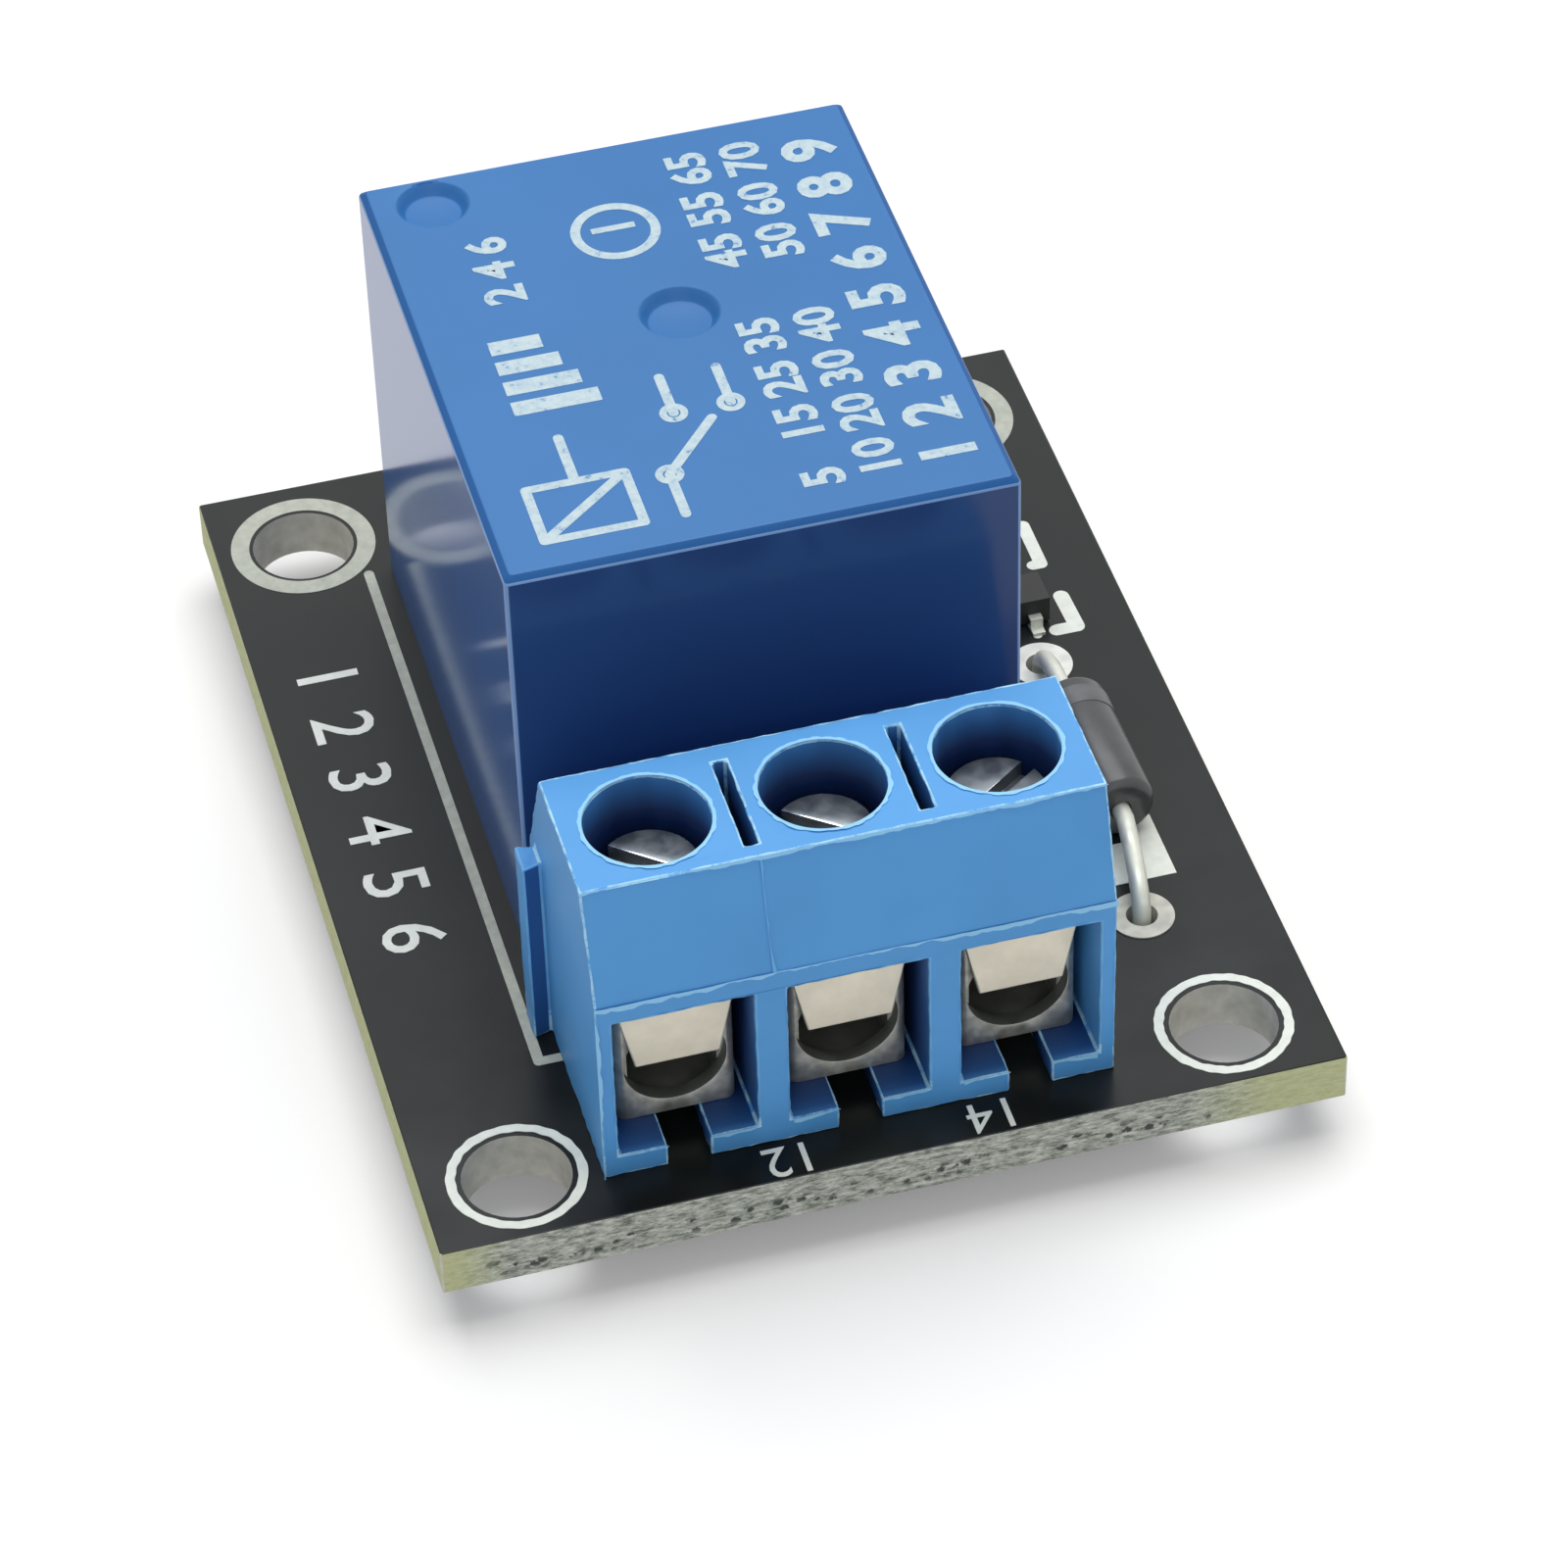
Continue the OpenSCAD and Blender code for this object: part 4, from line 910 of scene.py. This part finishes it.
def ribbon(shape, dice, start, end, across, out, width_mm, cell_mm=0.16):
    """Lays a torn ribbon; across is the direction of its width, and out points off the surface."""
    count = max(4, int((end - start).length / (cell_mm * MM)))
    made = bmesh.ops.create_grid(shape, x_segments=count, y_segments=1, size=0.5)["verts"]
    faces = unique(face for vert in made for face in vert.link_faces)
    inner, size = 0.0, 0.5
    sizes = []
    for _ in range(count + 1):
        size = min(1.0, max(0.12, size + dice.uniform(-0.3, 0.3)))
        inner = min(0.25, max(-0.25, inner + dice.uniform(-0.12, 0.12)))
        sizes.append((inner, size))
    for vert in made:
        k = round((vert.co.x + 0.5) * count)
        inner, size = sizes[k]
        side = inner * 0.3 if vert.co.y < 0 else inner * 0.3 + size
        lift = 0.01 + 0.03 * size
        vert.co = start + (end - start) * (k / count)
        vert.co += across * (side * width_mm * MM) + out * (lift * MM)
    bmesh.ops.recalc_face_normals(shape, faces=faces)
    bmesh.ops.solidify(shape, geom=faces, thickness=FLASH_T)


def make_flash():
    """Ribbons along the crease, the top front edge, the left upright edge and the floor tabs."""
    shape = bmesh.new()
    dice = random.Random(5)
    front, left, right = block_low.y, block_left, block_high.x
    ribbon(shape, dice, on_crease(left), on_crease(right), DOWN, FORWARD, 0.2)
    ribbon(shape, dice, on_brow(left), on_brow(right), down_slope, off_slope, 0.12)
    foot = Vector((left, front, board_top))
    ribbon(shape, dice, foot, on_crease(left), LEFT_TO_RIGHT, FORWARD, 0.12)
    for k in range(len(SIDES)):
        middle = left + (k + 0.5) * (right - left) / len(SIDES)
        for low, high in ((-TAB_OUTER, -TAB_INNER), (TAB_INNER, TAB_OUTER)):
            start = Vector((middle + low, front, board_top + TAB_UP))
            end = Vector((middle + high, front, board_top + TAB_UP))
            ribbon(shape, dice, start, end, DOWN, FORWARD, 0.18)
    return write_piece("flash", shape, flash_material)


flash = make_flash()
print("flash faces:", len(flash.data.polygons))


# %% Torn rims of the driver holes, and the weld line
RIM_OUTER, RIM_INNER, RIM_T = 1.94, 1.83, 0.014
SUNK = 0.001 * MM
WELD_X = 5.15 * MM


def make_rims():
    """Thin uneven rings round the driver holes, where the core pin left a whitened rim."""
    shape = bmesh.new()
    dice = random.Random(11)
    for side in SIDES:
        low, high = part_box(f"clamp_screw_{side}")
        centre = Vector(((low.x + high.x) / 2, (low.y + high.y) / 2, block_high.z - SUNK))
        verts = ring(shape, centre, RIM_OUTER, RIM_INNER, RIM_T, 96)
        ragged(shape, verts, dice, centre, 0.012, (RIM_OUTER + RIM_INNER) / 2)
    return write_piece("driver_rims", shape, flash_material, smooth=False)


def make_weld_line():
    """The faint line down the slope, where two streams of nylon met beside the first pole."""
    shape = bmesh.new()
    high, low = on_brow(block_left + WELD_X), on_crease(block_left + WELD_X)
    ribbon(shape, random.Random(13), high, low, LEFT_TO_RIGHT, off_slope, 0.15, 0.3)
    # the weld line is laid in the paler blue of the painted edge highlight
    return write_piece("weld_line", shape, terminal_materials[SOFT_HIGHLIGHT])


rims = make_rims()
weld_line = make_weld_line()
print("rim faces:", len(rims.data.polygons), "and weld line faces:", len(weld_line.data.polygons))

# %% [markdown]
# ## Clamps: cages, wire guards and screws
# Behind each window sits a folded nickel cage with a round wire hole. The wire guard hangs in
# front of it, and the screw above pushes both the guard and the wire down.


# %% Clamp materials
def make_plate(name, colour, roughness, size_mm, depth, metallic=1.0):
    """Plated sheet whose colour and gloss drift in soft patches."""
    material = finish(name, colour, roughness, metallic=metallic)
    mottle(material, colour, size_mm, depth)
    vary_gloss(material, size_mm * 0.7, roughness * 0.8, roughness * 1.3)
    grain(material, size_mm * 0.5, 0.006, 0.25)
    return material


cage_metal = make_plate("cage_metal", srgb(188, 188, 178), 0.42, 0.5, 0.3, 0.75)
# the edge plates are paler for the bevels, a painted highlight
cage_edge_highlight = make_plate("cage_edge_highlight", srgb(240, 240, 234), 0.4, 0.8, 0.04, 0.6)
guard_metal = make_plate("guard_metal", srgb(238, 231, 212), 0.4, 1.0, 0.07, 0.7)
screw_metal = make_plate("screw_metal", srgb(140, 146, 150), 0.42, 0.7, 0.16, 0.85)
screw_edge_highlight = make_plate("screw_edge_highlight", srgb(232, 236, 238), 0.22, 0.7, 0.04)
# the inside plate is darker for the inward faces, painted shade
cage_inside_shade = make_plate("cage_inside_shade", srgb(132, 134, 127), 0.5, 0.8, 0.12, 0.6)
cage_finishes, screw_finishes = [cage_metal, cage_edge_highlight, cage_inside_shade], [screw_metal, screw_edge_highlight]
print("clamp finishes:", len(cage_finishes) + len(screw_finishes) + 1)


# %% Clamps
BEVEL_HIGHLIGHT, INNER_SHADE = 1, 2


def soften(node, name, materials, width_mm, body="module"):
    """A bevelled stand-in for a node; bevels take the second material of a list as a painted highlight,
    and inward faces the third as painted shade.
    """
    shape = merged_copy(node)
    bevels = bevel_sharp(shape, width_mm)
    if isinstance(materials, list):
        low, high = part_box(node)
        for face in shape.faces:
            outwards = face.calc_center_median() - (low + high) / 2
            # inward faces take the darker plate as painted shade
            if len(materials) > INNER_SHADE and face.normal.dot(outwards) < 0:
                face.material_index = INNER_SHADE
        # bevels take the paler plate as a painted highlight
        for face in bevels:
            face.material_index = BEVEL_HIGHLIGHT
    return write_piece(name, shape, materials, body, node)


for side in SIDES:
    guard, screw = f"guard_{side}", f"screw_{side}"
    soften(f"clamp_cage_{side}", f"cage_{side}", cage_finishes, 0.06)
    soften(f"wire_guard_{side}", guard, guard_metal, 0.05, guard)
    soften(f"clamp_screw_{side}", screw, screw_finishes, 0.05, screw)
print("clamps softened:", 3 * len(SIDES))

# %% [markdown]
# ## Diode
# The diode is moulded in black epoxy, with a grey ring at the end that blocks. The ring is a
# thin sleeve, made upright by the same helper as the printed rings and then laid on its side.


# %% Diode
def make_epoxy(name, level, roughness):
    """Moulded epoxy of one grey level."""
    grey = srgb(level, level, level + 1)
    material = finish(name, grey, roughness)
    mottle(material, grey, 0.8, 0.2)
    grain(material, 0.3, 0.008, 0.3)
    return material


epoxy = make_epoxy("diode_epoxy", 74, 0.28)
band_grey = make_epoxy("diode_band", 98, 0.42)
tin = make_plate("bright_tin", srgb(220, 222, 210), 0.55, 0.8, 0.07, 0.5)
BAND_FILM, BAND_SUNK, BAND_WIDTH, BAND_FROM_END = 0.012, 0.05, 0.75, 0.55


def make_band():
    """The cathode ring: a thin sleeve round the body near its back end."""
    shape = bmesh.new()
    radius = (diode_high.z - diode_low.z) / 2 / MM
    ring(shape, Vector((0, 0, 0)), radius + BAND_FILM, radius - BAND_SUNK, BAND_WIDTH)
    lie_down = Matrix.Rotation(math.radians(90), 4, "X")
    middle = (diode_low + diode_high) / 2
    place = Vector((middle.x, diode_high.y - BAND_FROM_END * MM, middle.z))
    bmesh.ops.transform(shape, matrix=Matrix.Translation(place) @ lie_down, verts=shape.verts)
    return write_piece("diode_band", shape, band_grey)


soften("diode_body", "diode", epoxy, 0.08)
band = make_band()
for end in ("front", "back"):
    shape = merged_copy(f"diode_lead_{end}")
    write_piece(f"lead_{end}", shape, tin, replaces=f"diode_lead_{end}")
print("band faces:", len(band.data.polygons))

# %% [markdown]
# ## Small parts and everything inside
# The header, the chips and the magnet inside the relay keep their nodes and only get a finish.


# %% Finishes of the other nodes
gold = make_plate("pin_gold", srgb(220, 190, 120), 0.22, 0.6, 0.08)
solder = make_plate("solder_tin", srgb(190, 194, 194), 0.28, 0.7, 0.12)
pad_tin = make_plate("pad_tin", srgb(192, 192, 183), 0.6, 0.5, 0.1, 0.3)
backwards = map_range(pad_tin, axes(pad_tin)[1], diode_low.y, diode_high.y)
pad_stops = [(0.0, srgb(188, 187, 177)), (1.0, srgb(222, 222, 216))]
feed(pad_tin, ramp(pad_tin, backwards, pad_stops), "Base Color")
steel = make_plate("magnet_steel", srgb(160, 165, 170), 0.35, 1.0, 0.12)
brass = make_plate("contact_brass", srgb(200, 160, 100), 0.3, 0.8, 0.1)
silver = make_plate("contact_silver", srgb(225, 225, 222), 0.2, 0.5, 0.06)
copper = make_plate("copper_wire", srgb(190, 100, 55), 0.35, 0.3, 0.15)
natural = make_epoxy("bobbin_natural", 226, 0.5)
ceramic = make_epoxy("chip_ceramic", 40, 0.4)
dull_epoxy = make_epoxy("transistor_epoxy", 22, 0.6)
header_black = make_epoxy("header_black", 26, 0.4)
base_blue = make_terminal_plastic("relay_floor_blue", srgb(44, 90, 146), 0.4)
led_lens = make_terminal_plastic("led_lens", srgb(222, 212, 178), 0.18)

FINISHES = {
    gold: ["header_pins"],
    solder: ["solder_joints"],
    pad_tin: ["copper_pads"],
    steel: ["relay_yoke", "relay_core", "relay_armature"],
    brass: [
        "relay_contact_leaf", "relay_open_terminal", "relay_closed_terminal", "relay_common_terminal",
    ],
    silver: ["relay_moving_contact", "relay_open_contact", "relay_closed_contact"],
    copper: ["relay_winding"],
    natural: ["relay_bobbin"],
    tin: [
        "relay_coil_pins", "transistor_leads", "base_resistor_caps", "led_resistor_caps",
        "indicator_led_caps",
    ],
    ceramic: ["base_resistor", "led_resistor"],
    dull_epoxy: ["transistor_body"],
    header_black: ["header_block"],
    base_blue: ["relay_base"],
    led_lens: ["indicator_led"],
}
for material, names in FINISHES.items():
    for name in names:
        nodes[name].data.materials.clear()
        nodes[name].data.materials.append(material)
print("nodes finished:", sum(len(names) for names in FINISHES.values()))

# %% [markdown]
# ## Floor and light
# The board lies on white paper under a large soft lamp. The paper is lit like everything
# else, so it keeps the board's shadow, and a little glow that only the camera sees lifts it to white.


# %% Floor
FLOOR_SIDE = 3.0
FLOOR_GAP = 0.02 * MM
PAPER_GLOW = 0.2


def make_floor():
    """White paper that the camera sees a touch brighter than it is lit."""
    material = finish("paper", srgb(236, 236, 236), 0.9, specular=0.0)
    tree = material.node_tree
    shader = tree.nodes["Principled BSDF"]
    rays = tree.nodes.new("ShaderNodeLightPath")
    glow = tree.nodes.new("ShaderNodeMath")
    glow.operation = "MULTIPLY"
    glow.inputs[1].default_value = PAPER_GLOW
    tree.links.new(rays.outputs["Is Camera Ray"], glow.inputs[0])
    shader.inputs["Emission Color"].default_value = (1, 1, 1, 1)
    tree.links.new(glow.outputs["Value"], shader.inputs["Emission Strength"])
    shape = bmesh.new()
    low_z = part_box("solder_joints")[0].z
    bmesh.ops.create_grid(shape, x_segments=1, y_segments=1, size=FLOOR_SIDE / 2)
    bmesh.ops.translate(shape, vec=(0, 0, low_z - FLOOR_GAP), verts=shape.verts)
    mesh = bpy.data.meshes.new("paper")
    shape.to_mesh(mesh)
    shape.free()
    mesh.materials.append(material)
    floor = bpy.data.objects.new("paper", mesh)
    bpy.context.scene.collection.objects.link(floor)
    return floor


floor = make_floor()
print("floor in mm below the board's top:", round((board_top - floor.data.vertices[0].co.z) / MM, 2))


# %% Light
LAMPS = {
    "overhead": {"place_mm": (30, 105, 370), "side_mm": 380, "power": 1.36},
    "front_fill": {"place_mm": (-70, -320, 190), "side_mm": 300, "power": 0.17},
}
WORLD_AS_LIGHT = 0.34


def make_lamp(name, place_mm, side_mm, power):
    """A square soft lamp, aimed at the middle of the board."""
    data = bpy.data.lights.new(name, "AREA")
    data.shape = "SQUARE"
    data.size = side_mm * MM
    data.energy = power
    lamp = bpy.data.objects.new(name, data)
    bpy.context.scene.collection.objects.link(lamp)
    lamp.matrix_world = aimed(Vector(place_mm) * MM, Vector((0, 0, 0)))


def make_world():
    """White surroundings: full to the camera and in reflections, weaker as a light."""
    world = bpy.data.worlds.new("studio")
    bpy.context.scene.world = world
    world.use_nodes = True
    tree = world.node_tree
    background = tree.nodes["Background"]
    background.inputs["Color"].default_value = (1, 1, 1, 1)
    rays = tree.nodes.new("ShaderNodeLightPath")
    sharp = tree.nodes.new("ShaderNodeMath")
    sharp.operation = "MAXIMUM"
    tree.links.new(rays.outputs["Is Camera Ray"], sharp.inputs[0])
    tree.links.new(rays.outputs["Is Glossy Ray"], sharp.inputs[1])
    strength = tree.nodes.new("ShaderNodeMapRange")
    strength.inputs["To Min"].default_value = WORLD_AS_LIGHT
    strength.inputs["To Max"].default_value = 1.0
    tree.links.new(sharp.outputs["Value"], strength.inputs["Value"])
    tree.links.new(strength.outputs["Result"], background.inputs["Strength"])


for name, settings in LAMPS.items():
    make_lamp(name, **settings)
make_world()
bpy.context.scene.view_settings.view_transform = "Standard"
print("lamps:", len(LAMPS), "and the surroundings")
